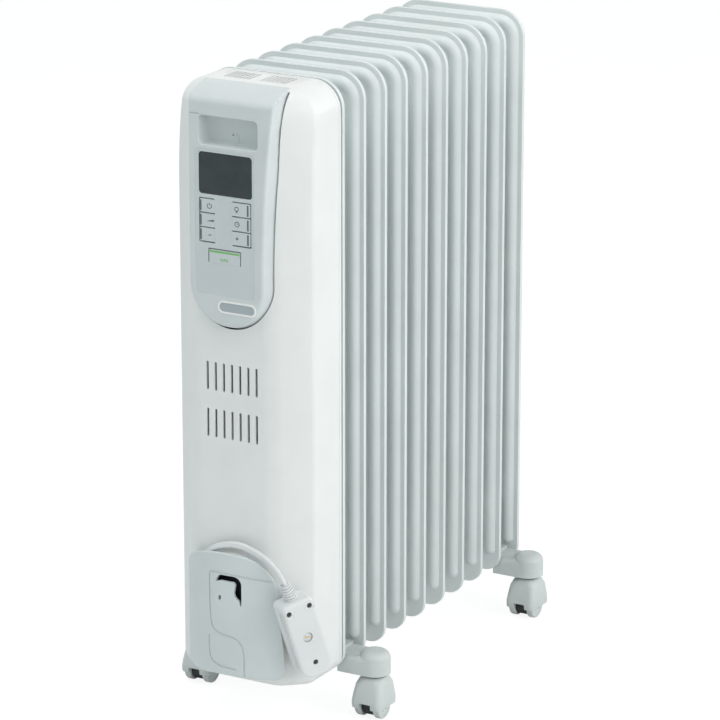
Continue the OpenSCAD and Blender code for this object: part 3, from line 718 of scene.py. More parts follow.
# %% [markdown]
# ## Housing
# The housing is a tall moulded shell, open at the back. Its section has a flat front, two slanting facets
# and straight sides, all with soft edges, and a fine seam line near its open edge. So it starts as a flat
# plan of a few vertices, is rounded and pushed up level by level, and each level is then squeezed: in at the
# round top and bottom corners, and back where the front leans over at the top.

# %% Outline of the housing at each height
house_half, house_low, house_high = 0.076, 0.051, 0.650
house_front, house_facet, house_back = -0.223, -0.1945, -0.143
front_half, shell_wall = 0.045, 0.0025
least_facet, back_margin = 0.004, 0.015
side_round, lower_round = 0.030, 0.014
lean_radius, top_round, lean_angle = 0.420, 0.032, math.radians(10)
lean_z = house_high - top_round - (lean_radius - top_round) * math.sin(lean_angle)
top_y = house_front + lean_radius * (1 - math.cos(lean_angle)) + top_round * math.cos(lean_angle)
top_z = house_high - top_round
facet_slope = (house_facet - house_front) / (house_half - front_half)


def half_width_at(z):
    """Half the width of the housing at a height."""
    high, low = z - (house_high - side_round), house_low + lower_round - z
    if high > 0:
        return house_half - side_round + math.sqrt(max(0.0, side_round ** 2 - high ** 2))
    return house_half - lower_round + math.sqrt(max(0.0, lower_round ** 2 - max(0.0, low) ** 2))


def front_at(z):
    """Where the front of the housing is at a height."""
    low = house_low + lower_round - z
    if z > top_z + top_round * math.sin(lean_angle):
        return top_y - math.sqrt(max(0.0, top_round ** 2 - (z - top_z) ** 2))
    if z > lean_z:
        return house_front + lean_radius - math.sqrt(lean_radius ** 2 - (z - lean_z) ** 2)
    return house_front + lower_round - math.sqrt(max(0.0, lower_round ** 2 - max(0.0, low) ** 2))


def squeeze(v):
    """Moves a vertex of the straight form to where the housing is at its height."""
    z, x, y = v.co.z, abs(v.co.x), v.co.y
    half, front = half_width_at(z), front_at(z)
    fold_x = min(front_half, half - least_facet)
    fold_y = min(front + max(half - front_half, least_facet) * facet_slope, house_back - back_margin)
    if x < front_half:
        x *= fold_x / front_half
    else:
        x = fold_x + (x - front_half) * (half - fold_x) / (house_half - front_half)
    if y < house_facet:
        y = front + (y - house_front) * (fold_y - front) / (house_facet - house_front)
    else:
        y = fold_y + (y - house_facet) * (house_back - fold_y) / (house_back - house_facet)
    v.co.x, v.co.y = math.copysign(x, v.co.x), y


print("front at 0.645 is", round(front_at(0.645), 4), "and the half width", round(half_width_at(0.645), 4))

# %% Push the plan up and hollow it
def arc_levels(centre, radius, start, end, steps):
    return [z for _, z in arc((0, centre), radius, start, end, steps)]


def housing_form():
    bm = bmesh.new()
    seam, seam_depth, side_edge, front_edge = house_back - 0.0042, 0.0007, 0.0035, 0.011
    side = [(house_half, house_back), (house_half, seam + 0.0005), (house_half - seam_depth, seam + 0.0002),
            (house_half - seam_depth, seam - 0.0002), (house_half, seam - 0.0005), (house_half, house_facet),
            (front_half, house_front)]
    plan = [(-x, y) for x, y in side] + [(x, y) for x, y in reversed(side)]
    verts = [bm.verts.new((x, y, house_low)) for x, y in plan]
    bm.faces.new(verts)
    for pair, radius in (([verts[5], verts[8]], side_edge), (verts[6:8], front_edge)):
        bevel(bm, pair, radius, 6, "VERTICES")
    heights = (arc_levels(house_low + lower_round, lower_round, -90, 0, 8) + [0.20, 0.32, 0.43]
               + [lean_z + 0.0105 * k for k in range(7)]
               + arc_levels(house_high - side_round, side_round, 12, 90, 13))
    edges = bm.edges[:]
    for a, b in zip(heights, heights[1:]):
        done = bmesh.ops.extrude_edge_only(bm, edges=edges)["geom"]
        shift(bm, done, (0, 0, b - a))
        edges = [g for g in done if isinstance(g, bmesh.types.BMEdge)
                 and all(abs(v.co.z - b) < 1e-6 for v in g.verts)]
    bmesh.ops.contextual_create(bm, geom=edges)
    for v in bm.verts:
        squeeze(v)
    bmesh.ops.recalc_face_normals(bm, faces=bm.faces)
    return bm


form = housing_form()
open_back = [f for f in form.faces if all(v.co.y > house_back - 1e-5 for v in f.verts)]
bmesh.ops.delete(form, geom=open_back, context="FACES")
housing = make("housing", form, [white_gloss], 30, closed=False)
wall = housing.modifiers.new("wall", "SOLIDIFY")
wall.thickness, wall.offset = shell_wall, -1
apply_modifiers(housing)
whole_housing = bpy.data.objects.new("whole_housing", housing.data.copy())
print("housing", len(housing.data.polygons), "faces")

# %% [markdown]
# The control bezel is needed before the housing's openings can be cut, because it sits in one of them with a
# narrow shadow gap round it. It is a loft between a wide outline on the housing and a narrower
# one at the face, with a soft fillet between face and side, and it is cut off at the top by the curve of its
# brow, which wraps back over the housing.

# %% Form of the bezel
panel_y, bezel_back = -0.232, -0.190
round_end_z, face_round, back_round = 0.459, 0.0405, 0.0555
flare, flare_start, flare_tall = 0.0135, 0.007, 0.177
narrowing, narrow_from, narrow_tall = 0.008, 0.560, 0.060
ring_step, ring_top, profile_low, profile_half = 0.0128, 0.665, 0.380, 0.09
brow_y, brow_radius, crease_radius = -0.185, 0.150, 0.009
crease_angle = math.degrees(math.acos((panel_y + crease_radius - brow_y) / (brow_radius - crease_radius)))
crease_z = house_high - brow_radius + (brow_radius - crease_radius) * math.sin(math.radians(crease_angle))


def face_flank(z):
    """Half the width of the bezel's face at a height: it flares towards the brow."""
    return face_round + flare * max(0.0, (z - round_end_z - flare_start) / flare_tall) ** 2


def back_flank(z):
    """Half its width where it ends inside the housing: it narrows towards the brow."""
    return back_round - narrowing * smooth_step((z - narrow_from) / narrow_tall)


def bezel_outline(bm, y, grow=0.0):
    """A ring of the loft. At the face only the right flank flares; the left one stays upright."""
    share = (y - panel_y) / (bezel_back - panel_y)
    end = face_round + (back_round - face_round) * share + grow
    heights = [round_end_z + ring_step * k for k in range(1, 13)] + [ring_top]
    ring = arc((0, round_end_z), end, -90, 0, 12)
    ring += [(face_flank(z) * (1 - share) + back_flank(z) * share + grow, z) for z in heights]
    ring += [(-face_round * (1 - share) - back_flank(z) * share - grow, z) for z in reversed(heights)]
    ring += arc((0, round_end_z), end, 180, 262.5, 11)
    return edge_ring(bm, [(x, y, z) for x, z in ring])


def bezel_loft(places):
    """A closed loft through rings given as (y, grow)."""
    bm = bmesh.new()
    return loft(bm, [bezel_outline(bm, y, grow) for y, grow in places])


def brow_profile(lower=0.0):
    """Everything under the curve of the brow, or under one that is a little lower."""
    side = ([(brow_y + 0.02, profile_low), (brow_y + 0.02, house_high - lower)]
            + arc((brow_y, house_high - brow_radius), brow_radius - lower, 90, crease_angle, 20)
            + arc((panel_y + crease_radius, crease_z), crease_radius - lower, crease_angle + 6, 180, 9)
            + [(panel_y + lower, profile_low)])
    bm = bmesh.new()
    return push(bm, bm.faces.new([bm.verts.new((-profile_half, y, z)) for y, z in side]),
                (2 * profile_half, 0, 0))


print("the brow's cutter has", len(brow_profile().faces), "faces")

# %% The bezel
edge_round = 0.0024
bezel = make("control_panel", bezel_loft([(bezel_back, 0), (-0.206, 0), (panel_y, 0)]), [panel_satin], 30)
cut(bezel, brow_profile(), "INTERSECT")
rework(bezel, lambda bm: bevel(bm, [
    e for e in bm.edges if e.calc_face_angle() > math.radians(38)
    and all(v.co.y < bezel_back - 0.0003 for v in e.verts)], edge_round, 4))
print("bezel", len(bezel.data.polygons), "faces, crease at", round(crease_z, 4))

# %% Openings of the housing
def pillar(outline, y0, y1):
    """A closed outline of (x, z) points pushed from one depth to another."""
    bm = bmesh.new()
    return push(bm, bm.faces.new([bm.verts.new((x, y0, z)) for x, z in outline]), (0, y1 - y0, 0))


tray_half, tray_low, tray_round_z, tray_corner = 0.0440, 0.0700, 0.1405, 0.003


def tray_shape(inset):
    """Outline of the tray behind the storage plate: round above, square below."""
    half, low = tray_half - inset, tray_low + inset
    return (arc((0, tray_round_z), half, 0, 180, 24)
            + arc((tray_corner - half, low + tray_corner), tray_corner, 180, 270, 4)
            + arc((half - tray_corner, low + tray_corner), tray_corner, 270, 360, 4))


slot_pitch, slot_half, slot_long, slot_rows = 0.0092, 0.0013, 0.029, (0.3015, 0.349)
front_out, front_in = house_front - 0.005, house_front + 0.012
gap = 0.0017
opening = make("bezel_seat", bezel_loft([(-0.236, gap), (-0.214, gap), (-0.193, gap)]), [])
cut(opening, brow_profile(0.0028), "INTERSECT")
seat = bmesh.new()
seat.from_mesh(opening.data)
bpy.data.objects.remove(opening)
cut(housing, seat)
cutters = bmesh.new()
for k in range(-3, 4):
    for z in slot_rows:
        add(cutters, block((k * slot_pitch - slot_half, front_out, z),
                           (k * slot_pitch + slot_half, front_in, z + slot_long), slot_half * 0.98, 1, 6))
grille_pitch, grille_slot, grille_front, grille_back = 0.0043, 0.0022, -0.178, -0.152
for group in (-0.035, 0.005):
    for k in range(7):
        x = group + 0.001 + k * grille_pitch
        add(cutters, block((x, grille_front, house_high - 0.006),
                           (x + grille_slot, grille_back, house_high + 0.01), 0.0009, 2, 4))
cut(housing, cutters)
cut(housing, pillar(tray_shape(0), front_out, front_in))
print("housing", len(housing.data.polygons), "faces")

# %% [markdown]
# ## Control panel
# A finger pocket is sunk under the brow, a dark window sits below it, and the keys are tongues of the same
# grey plastic with a gap on three sides. The pocket's rim is rounded before the other openings are cut, so
# that only it gets the large radius. The panel's face is a shallow recess with a satin finish.

# %% Pocket, window and key openings
pocket_low, pocket_high, pocket_depth = (-0.0295, 0.5955), (0.0360, 0.6240), 0.015
front = panel_y - 0.001
pocket_back = panel_y + pocket_depth
cut(bezel, block((pocket_low[0], front, pocket_low[1]), (pocket_high[0], pocket_back, pocket_high[1]),
                 0.0048, 1, 6))


def round_pocket(bm):
    """Rounds the pocket's rim and the edge of its floor."""
    for y, width in ((panel_y, 0.0008), (pocket_back, 0.0014)):
        bevel(bm, [e for e in bm.edges if e.calc_face_angle() > 1.2
                   and all(abs(v.co.y - y) < 1e-5 and v.co.z > 0.594 and abs(v.co.x) < 0.04
                           for v in e.verts)], width, 3)


rework(bezel, round_pocket)

recess, face_low, face_high = 0.00035, (-0.034, 0.4482), (0.0322, 0.5918)
face_y = panel_y + recess
cut(bezel, block((face_low[0], front, face_low[1]), (face_high[0], face_y, face_high[1]), 0.004, 1, 5))
key_pitch, key_gap = 0.0143, 0.0012
column_low, column_high = 0.5000, 0.5430
columns = {"left": (-0.0298, -0.0119), "right": (0.0073, 0.0286)}
eco_box = (-0.0199, 0.4800, 0.0168, 0.4945)
window_half, window_z, window_tall = 0.0296, 0.568, 0.0412
through = panel_y + 0.0045
openings = bmesh.new()
for low_x, high_x in columns.values():
    add(openings, block((low_x, front, column_low - key_gap / 2),
                        (high_x, through, column_high + key_gap / 2), 0.0014, 1, 3))
add(openings, block((eco_box[0], front, eco_box[1]), (eco_box[2], through, eco_box[3]), 0.001, 1, 3))
add(openings, block((-window_half, front, window_z - window_tall / 2),
                    (window_half, through, window_z + window_tall / 2), 0.0034, 1, 6))
cut(bezel, openings)
# Room for the keys behind the panel, and the fine seam above the pocket.
cut(bezel, block((-0.0335, panel_y + 0.0035, 0.436), (0.0335, -0.180, 0.592)))
cut(bezel, block((-0.0450, front, 0.6246), (pocket_low[0] + 0.001, panel_y + 0.0008, 0.6255)))
badge_x, badge_z, badge_half, badge_tall = 0.0121, 0.4378, 0.0215, 0.0063


def oval(inset, y0, y1):
    """The badge's outline between two depths."""
    half, tall = badge_half - inset, badge_tall - inset
    return block((badge_x - half, y0, badge_z - tall), (badge_x + half, y1, badge_z + tall),
                 tall * 0.98, 1, 10)


cut(bezel, oval(0, front, panel_y + 0.0005))
soften(bezel, 0.00022, 50, 1)
print("panel", len(bezel.data.polygons), "faces")

# %% Two finishes of the panel
bezel.data.materials.clear()
for finish in (panel_satin, membrane):
    bezel.data.materials.append(finish)
for face in bezel.data.polygons:
    centre = face.center
    face.material_index = int(abs(centre.y - face_y) < 2e-5 and abs(centre.x) < 0.0345 and centre.z < 0.592)
fit(bezel, "radiator", "panel_grey", "control_bezel")

# %% [markdown]
# The window and the badge are inserts. The badge is a blank oval: a raised pale rim round a satin field. The
# pocket has a small rounded tab on its floor, with a dark pip.

# %% Window, badge and pocket tab
glass_half, glass_tall = window_half - 0.0002, window_tall / 2 - 0.0002
window = make("display_glass", block((-glass_half, panel_y + 0.0003, window_z - glass_tall),
                                     (glass_half, panel_y + 0.0031, window_z + glass_tall), 0.0032, 1, 6),
              [window_glass])
soften(window, 0.0003, 50, 2)
fit(window, "radiator", "display", "display_window")

badge = make("badge_oval", oval(0.0001, panel_y - 0.0007, panel_y + 0.0004), [badge_white])
cut(badge, oval(0.0018, panel_y - 0.002, panel_y + 0.002))
soften(badge, 0.00018, 50, 2)
rework(badge, lambda bm: add(bm, oval(0.0017, panel_y - 0.0001, panel_y + 0.0004), material=1))
badge.data.materials.append(badge_field)
fit(badge, "radiator", "white_plastic", "badge_plate")
tab_x, tab_half, tab_low, tab_round_z = 0.0008, 0.0062, pocket_low[1] + 0.0018, 0.6003
tab_outline = ([(tab_x + tab_half, tab_low)] + arc((tab_x, tab_round_z), tab_half, 0, 180, 12)
               + [(tab_x - tab_half, tab_low)])
tab = make("pocket_tab", pillar(tab_outline, pocket_back - 0.0006, pocket_back + 0.001), [panel_satin])
soften(tab, 0.0003, 50, 2)
fit(tab, "radiator", "panel_grey")
dot = rod(0.0007, 0, 0.0003, 16)
move(dot, at((0.0008, pocket_back - 0.0005, 0.6045)) @ FACE_FRONT)
fit(make("pocket_pip", dot, [gland_dark]), "radiator", "dark_plastic")

# %% [markdown]
# ## Keys
# A key is a cap with a flange behind the panel that keeps it in. It slides back by less than a millimetre.
# Its marks are printed, so they are thin raised shapes on its face that ride with it.

# %% Caps
key_front, cap_back, flange_back = panel_y + 0.0001, panel_y + 0.0037, panel_y + 0.0046
seam_gap, flange = 0.00005, 0.0004


def key_cap(name, x0, z0, x1, z1):
    cap = make(name, block((x0, key_front, z0), (x1, cap_back, z1), 0.0007, 1, 3), [membrane])
    return soften(cap, 0.00025, 50, 2)


def key(name, body, low, high, seam):
    """A key between two corners in X and Z; seam is the side where it meets the panel without a gap."""
    (x0, z0), (x1, z1) = low, high
    x0 += seam_gap if seam == "left" else key_gap
    x1 -= seam_gap if seam == "right" else key_gap
    cap = key_cap(name, x0, z0, x1, z1)
    rework(cap, lambda bm: add(bm, block((x0 - flange, cap_back, z0 - flange),
                                         (x1 + flange, flange_back, z1 + flange), 0.0007, 1, 3)))
    return fit(cap, body, "panel_grey", body)


key_rows = {"left": ("power_button", "heat_level_button", "minus_button"),
            "right": ("light_button", "timer_button", "plus_button")}
for side, names in key_rows.items():
    for row, name in enumerate(names):
        top = column_high - row * key_pitch
        key(name.replace("button", "key"), name, (columns[side][0], top - key_pitch + key_gap / 2),
            (columns[side][1], top - key_gap / 2), "right" if side == "left" else "left")
fit(key_cap("eco_key", eco_box[0] + key_gap, eco_box[1] + seam_gap, eco_box[2] - key_gap,
            eco_box[3] - key_gap), "eco_button", "panel_grey", "eco_button")

# %% Printed marks
ink = 0.00006


def bar(x, z, wide, tall, turn=0.0):
    """A flat printed bar, centred, turned by an angle in degrees."""
    shape = block((-wide / 2, -ink, -tall / 2), (wide / 2, ink, tall / 2), min(wide, tall) * 0.3, 1, 2)
    return shape, at((x, key_front, z)) @ turn_by(turn, "Y")


def ring(x, z, radius, line=0.0008, angle=360.0, start=0.0):
    """A printed ring or part of one."""
    inner, outer = radius - line / 2, radius + line / 2
    shape = turned([(inner, -ink), (outer, -ink), (outer, ink), (inner, ink), (inner, -ink)], 32,
                   angle=math.radians(angle))
    return shape, at((x, key_front, z)) @ FACE_FRONT @ turn_by(start, "Z")


def wedge(x, z):
    """A wedge that grows to the right, for the heat level."""
    corners = (-0.0037, -0.0009), (0.0038, -0.0009), (0.0038, 0.0013), (-0.0037, -0.0005)
    return pillar(corners, -ink, ink), at((x, key_front, z))


def printed(name, body, marks, finish):
    bm = bmesh.new()
    for shape, place in marks:
        add(bm, shape, place)
    fit(make(name, bm, [finish], 30), body, "panel_grey")


rows = [column_high - key_pitch * (k + 0.5) for k in range(3)]
left_bar, right_bar = -0.0276, 0.0249
marks = {
    "power_button": [ring(-0.0178, rows[0], 0.0024, angle=290, start=125),
                     bar(-0.0178, rows[0] + 0.0018, 0.0008, 0.0025)],
    "heat_level_button": [wedge(-0.0167, rows[1])],
    "minus_button": [bar(-0.0175, rows[2], 0.0034, 0.0010)],
    "light_button": [ring(0.0125, rows[0] + 0.0006, 0.0020),
                     bar(0.0125, rows[0] - 0.0023, 0.0017, 0.0015)],
    "timer_button": [ring(0.0129, rows[1], 0.0024), bar(0.0129, rows[1] + 0.0007, 0.0005, 0.0017),
                     bar(0.0136, rows[1] + 0.0001, 0.0015, 0.0005)],
    "plus_button": [bar(0.0127, rows[2], 0.0031, 0.0010), bar(0.0127, rows[2], 0.0010, 0.0031)],
}
for row in range(3):
    for side, x in (("left", left_bar), ("right", right_bar)):
        marks[key_rows[side][row]].append(bar(x, rows[row], 0.0019, 0.0108))
for body, shapes in marks.items():
    printed(body.replace("button", "mark"), body, shapes, print_grey)
leaf_x, leaf_z = -0.0020, 0.4842
printed("eco_mark", "eco_button",
        [bar(-0.0016, 0.4916, 0.0336, 0.0019), ring(leaf_x - 0.0028, leaf_z, 0.0012, 0.0007),
         bar(leaf_x + 0.0002, leaf_z, 0.0012, 0.0030, 20), ring(leaf_x + 0.0030, leaf_z, 0.0012, 0.0007)],
        print_green)
print("keys and marks done")

# %% [markdown]
# ## Storage plate
# The plate that hides the wound cord is curved across its width. It is easier to build flat: the outline is
# filled and given a thickness, the clip's gap, the slot and the thin grooves are cut, and its edges are
# softened. Then it is sliced into narrow upright strips and every vertex is laid onto the curve.

# %% Paths and grooves
plate_face, plate_radius, plate_wall = -0.240, 0.120, 0.003


def groove(points, width, depth):
    """A closed band along a path of (x, z) points, sunk into the flat plate's face."""
    path = [Vector((x, z)) for x, z in points]
    left, right = [], []
    for k, p in enumerate(path):
        along = (path[min(k + 1, len(path) - 1)] - path[max(k - 1, 0)]).normalized()
        side = Vector((-along.y, along.x)) * width / 2
        left.append(tuple(p + side))
        right.append(tuple(p - side))
    return pillar(left + right[::-1], -0.001, depth)


def smooth_path(points, rounds=3):
    """Cuts the corners of a path a few times, which makes it a smooth curve."""
    for _ in range(rounds):
        path = [Vector(p) for p in points]
        points = [points[0]]
        for a, b in zip(path, path[1:]):
            points += [tuple(a.lerp(b, 0.25)), tuple(a.lerp(b, 0.75))]
        points.append(tuple(path[-1]))
    return points


print("a path of three points becomes one of", len(smooth_path([(0, 0), (0, 1), (1, 1)])))

# %% Outline and openings of the plate
outline = (arc((0.0135, 0.150), 0.0398, 10, 77, 14) + arc((0, 0.0705), 0.120, 80, 105, 8)
           + arc((-0.0357, 0.172), 0.0122, 110, 180, 8) + arc((-0.0364, 0.0745), 0.0115, 180, 265, 9)
           + arc((0.050, 0.073), 0.0095, 275, 360, 9))
clip_gap = (arc((-0.0015, 0.161), 0.008, 180, 90, 8) + arc((0.0105, 0.1605), 0.0085, 90, 0, 8)
            + [(0.019, 0.139), (0.0178, 0.139)] + arc((0.019, 0.152), 0.008, 250, 180, 4)
            + arc((0.0096, 0.160), 0.0028, 0, 90, 5) + [(-0.004, 0.1628)])
clip_gap = [(x - 0.001, z - 0.0012) for x, z in clip_gap]
print(len(outline), "points round the plate and", len(clip_gap), "round the clip's gap")

# %% Flat plate
plate = make("cord_plate", pillar(outline, 0, plate_wall), [plate_satin])
soften(plate, 0.0014, 50, 3)
pin_slot = (arc((-0.0063, 0.1449), 0.0015, 0, 180, 6) + arc((-0.0063, 0.1425), 0.0015, 180, 360, 6))
cut(plate, add(pillar(clip_gap, -0.001, 0.006), pillar(pin_slot, -0.001, 0.006)))
s_curve = smooth_path([(-0.0182, 0.1640), (-0.0177, 0.1194), (-0.0136, 0.1085), (0.0002, 0.1050),
                       (0.0103, 0.1046), (0.0177, 0.0984), (0.0206, 0.0878), (0.0204, 0.0653)])
second = smooth_path([(-0.0192, 0.1021), (-0.0196, 0.0803), (-0.0097, 0.0718), (0.0113, 0.0715)])
top_line = smooth_path([(-0.0182, 0.1636), (-0.0178, 0.1690), (-0.0110, 0.1700), (0.0184, 0.1690),
                        (0.0493, 0.1660)])
for points in (s_curve, second, top_line):
    cut(plate, groove(points, 0.0020, 0.0009))
soften(plate, 0.00025, 50, 1)
print("flat plate", len(plate.data.polygons), "faces")

# %% Bend it
strip_width = 0.0042


def bend(bm):
    """Slices the plate into strips and lays it onto its curve."""
    for k in range(-11, 15):
        bmesh.ops.bisect_plane(bm, geom=bm.verts[:] + bm.edges[:] + bm.faces[:],
                               plane_co=(k * strip_width, 0, 0), plane_no=(1, 0, 0))
    bmesh.ops.remove_doubles(bm, verts=bm.verts, dist=1e-6)
    for v in bm.verts:
        angle = math.asin(v.co.x / plate_radius)
        ray = plate_radius - v.co.y
        v.co.x, v.co.y = ray * math.sin(angle), plate_face + plate_radius - ray * math.cos(angle)


rework(plate, bend)
plate.data.set_sharp_from_angle(angle=math.radians(30))
fit(plate, "radiator", "grey_plastic", "storage_plate")
print("plate", len(plate.data.polygons), "faces")

# %% Tray and hub behind the plate
tray_floor, rim = -0.213, 0.0012
tray = make("cord_tray", pillar(tray_shape(0.0002), house_front + 0.0003, tray_floor + 0.002), [white_gloss])
cut(tray, pillar(tray_shape(rim), house_front - 0.001, tray_floor))
gland_hole = move(rod(0.0052, -0.02, 0.02), at(gland_exit) @ turn_by(-35, "Y"))


def hub_shape(radius):
    return (arc((0, hub_z + hub_straight), radius, 0, 180, 20)
            + arc((0, hub_z - hub_straight), radius, 180, 360, 20))


hub = make("cord_hub", pillar(hub_shape(0.0248), plate_face, tray_floor + 0.001), [part_grey])
drum_radius = plate_radius - plate_wall - 0.0001
cut(hub, move(rod(drum_radius, 0.05, 0.21, 128), at((0, plate_face + plate_radius, 0))), "INTERSECT")
cut(hub, pillar(hub_shape(0.0218), plate_face + 0.006, tray_floor + 0.003))
cut(hub, block((-0.0122, plate_face - 0.001, 0.1358), (0.0212, plate_face + 0.0141, 0.1702)))
cut(hub, gland_hole.copy())
cut(tray, gland_hole)
for piece in (tray, hub):
    soften(piece, 0.0004, 50, 1)
fit(tray, "radiator", "white_plastic", "cord_spool")
fit(hub, "radiator", "grey_plastic")
# A dark box behind the clip's gap is painted shade: it stands for the deep shadow inside the gap.
gap_shade = make("clip_gap_shade", block((-0.0120, plate_face + 0.0036, 0.1360), (0.0210, plate_face + 0.0140, 0.1700),
                               0.002, 1, 3), [gland_dark])
cut(gap_shade, block((-0.0112, plate_face - 0.001, 0.1368), (0.0202, plate_face + 0.0132, 0.1692), 0.0014, 1, 3))
fit(gap_shade, "radiator", "dark_plastic")
print("tray and hub done")

# %% [markdown]
# ## Plug
# The plug is two half shells with soft corners, built upright at the origin and then placed with one matrix.
# Two grooves run down its left side, three screws are sunk in its face, and a round recess holds a lamp lens.

# %% Half shells
plug_place = at((0.077, -0.2215, 0.116)) @ turn_by(54, "Z") @ turn_by(-17, "Y")
plug_half, plug_tall, plug_deep = 0.017, 0.039, 0.0135
plug_screw_at = [(-0.0112, 0.031), (0.0112, 0.031), (0, -0.028)]
blade_at, blade_half, blade_low, blade_high = (-0.00635, 0.00635), 0.00075, -0.02315, -0.01685


def hole(x, z, radius, y0, y1, steps=32):
    """A cylinder along Y, used to cut with."""
    return move(rod(radius, -y1, -y0, steps), at((x, 0, z)) @ FACE_FRONT)


def plug_shape(inset):
    """Outline of the plug's body: square at the cord's end and round at the other."""
    shape = []
    for side, start in ((1, 0), (-1, 90)):
        shape += arc((side * (plug_half - 0.005), plug_tall - 0.005), 0.005 - inset, start, start + 90, 6)
    for side, start in ((-1, 180), (1, 270)):
        shape += arc((side * (plug_half - 0.014), 0.009 - plug_tall), 0.014 - inset, start, start + 90, 9)
    return shape


def plug_shell(name, y0, y1, outer):
    shell = make(name, pillar(plug_shape(0), y0, y1), [plug_satin])
    rework(shell, lambda bm: bevel(bm, [
        e for e in bm.edges if all(abs(v.co.y - outer) < 1e-6 for v in e.verts)], 0.0034, 5))
    low, high = (y0 + 0.0025, y1 + 0.001) if outer == y0 else (y0 - 0.001, y1 - 0.0025)
    cut(shell, pillar(plug_shape(0.0025), low, high))
    return cut(shell, rod(0.0067, 0.035, 0.041, 40))


def place_plug(piece, slot, *stands_for):
    piece.data.transform(plug_place)
    piece.data.update()
    return fit(piece, "radiator", slot, *stands_for)


print(len(plug_shape(0)), "points round the plug")

# %% Front shell
front_shell = plug_shell("plug_face", -plug_deep, 0, -plug_deep)
for x, z in plug_screw_at:
    cut(front_shell, hole(x, z, 0.0027, -plug_deep - 0.001, -plug_deep + 0.004))
cut(front_shell, hole(0, 0, 0.0052, -plug_deep - 0.001, -plug_deep + 0.004, 40))
for y in (-0.0036, -0.0086):
    cut(front_shell, block((-plug_half - 0.001, y - 0.0012, -0.030), (-plug_half + 0.0013, y + 0.0012, 0.032),
                           0.001, 0, 3))
ridges = bmesh.new()
for x, z in plug_screw_at[:2]:
    add(ridges, turned([(0.0046, 0.0), (0.0052, 0.00035), (0.0058, 0.0)], 18, angle=math.radians(150)),
        at((x, -plug_deep, z)) @ FACE_FRONT @ turn_by(195, "Z"))
soften(front_shell, 0.0003, 50, 2)
rework(front_shell, lambda bm: add(bm, ridges))
shade_mesh(front_shell.data)
place_plug(front_shell, "plug_white", "plug_front_shell")

# %% Back shell
back_shell = plug_shell("plug_back", 0, plug_deep, plug_deep)
for x in blade_at:
    cut(back_shell, block((x - blade_half, plug_deep - 0.004, blade_low),
                          (x + blade_half, plug_deep + 0.002, blade_high)))
soften(back_shell, 0.0003, 50, 2)
screw_pillars = bmesh.new()
for x, z in plug_screw_at:
    add(screw_pillars, hole(x, z, 0.0026, -plug_deep + 0.006, plug_deep - 0.002, 24))
rework(back_shell, lambda bm: add(bm, screw_pillars))
place_plug(back_shell, "plug_white", "plug_back_shell")

# %% Screws and lens
heads, head_y = bmesh.new(), 0.0011 - plug_deep
for x, z in plug_screw_at:
    head = turned([(0, 0.0), (0.0019, 0.0001), (0.0026, 0.0007), (0.0026, 0.0044), (0, 0.0044)], 28)
    add(heads, head, at((x, head_y, z)) @ turn_by(-90, "X"))
screws = make("plug_screw_heads", heads, [blued])
for turn in (0, 90):
    slits = bmesh.new()
    for k, (x, z) in enumerate(plug_screw_at):
        add(slits, block((-0.0016, -0.001, -0.00028), (0.0016, 0.0007, 0.00028)),
            at((x, head_y, z)) @ turn_by(turn + 25 + 20 * k, "Y"))
    cut(screws, slits)
place_plug(screws, "dark_screw", "plug_screws")
dome = turned([(0, 0), (0.0024, 0.0001), (0.0042, 0.0006), (0.0051, 0.0014), (0.0051, 0.0023),
               (0, 0.0023)], 40)
move(dome, at((0, 0.0012 - plug_deep, 0)) @ FACE_FRONT.inverted())
place_plug(make("lamp_lens", dome, [plug_satin]), "lamp_lens", "plug_lamp_lens")
glow_bar = block((-0.0030, -plug_deep + 0.0007, -0.0007), (0.0030, -plug_deep + 0.0016, 0.0007), 0.0006, 1, 4)
move(glow_bar, turn_by(20, "Y"))
place_plug(soften(make("lamp_window", glow_bar, [amber]), 0.0002, 50, 1), "lamp_lens")

# %% Blades
prongs = bmesh.new()
for x in blade_at:
    prong = block((x - blade_half, 0.003, blade_low), (x + blade_half, plug_deep + 0.0145, blade_high))
    bevel(prong, [e for e in prong.edges if all(v.co.y > plug_deep for v in e.verts)], 0.0006, 2)
    add(prongs, prong)
blades = make("plug_prongs", prongs, [brass])
cut(blades, add(*[block((x, plug_deep + 0.0088, -0.0215), (x + 0.008, plug_deep + 0.0118, -0.0185),
                        0.0014, 0, 5) for x in (-0.012, 0.004)]))
place_plug(blades, "brass", "plug_blades")

# %% Boot, and slots for the blades
ribs = [(0, 0.0), (0.0064, 0.0)]
for k in range(6):
    low, reach = 0.0016 + 0.0028 * k, 0.0069 - 0.00028 * k
    inner = 0.0065 - 0.0019 * low / 0.0185 - 0.0010
    ribs += [(inner, low - 0.0001), (reach - 0.0002, low), (reach, low + 0.0003), (reach, low + 0.0011),
             (reach - 0.0002, low + 0.0014), (inner - 0.00015, low + 0.0015)]
ribs += [(0.0047, 0.0181), (0.0043, 0.0185), (0.0036, 0.0185), (0.0036, 0.0130), (0, 0.0130)]
sleeve = turned(ribs, 48)
move(sleeve, at((0, 0, 0.0385)) @ turn_by(-8.5, "Y"))
collar = turned([(0, 0.035), (0.0066, 0.035), (0.0066, 0.0396), (0.0062, 0.0400), (0, 0.0400)], 48)
place_plug(make("cord_boot", add(sleeve, collar), [plug_satin]), "plug_white", "plug_boot")
for x in blade_at:
    cut(housing, move(block((x - 0.0018, 0.010, -0.0250), (x + 0.0018, 0.040, -0.0150)), plug_place))
print("plug fittings done")

# %% [markdown]
# ## Crossbars and casters
# A crossbar is a folded bar that lies between two fins, with two round arms that hold the casters' stems.
# The hoods are lofts through rounded outlines, narrower towards the top, with the wheels' room cut out of
# them. Each wheel is turned from a profile, with a hollow in its outer face and softly rounded edges.

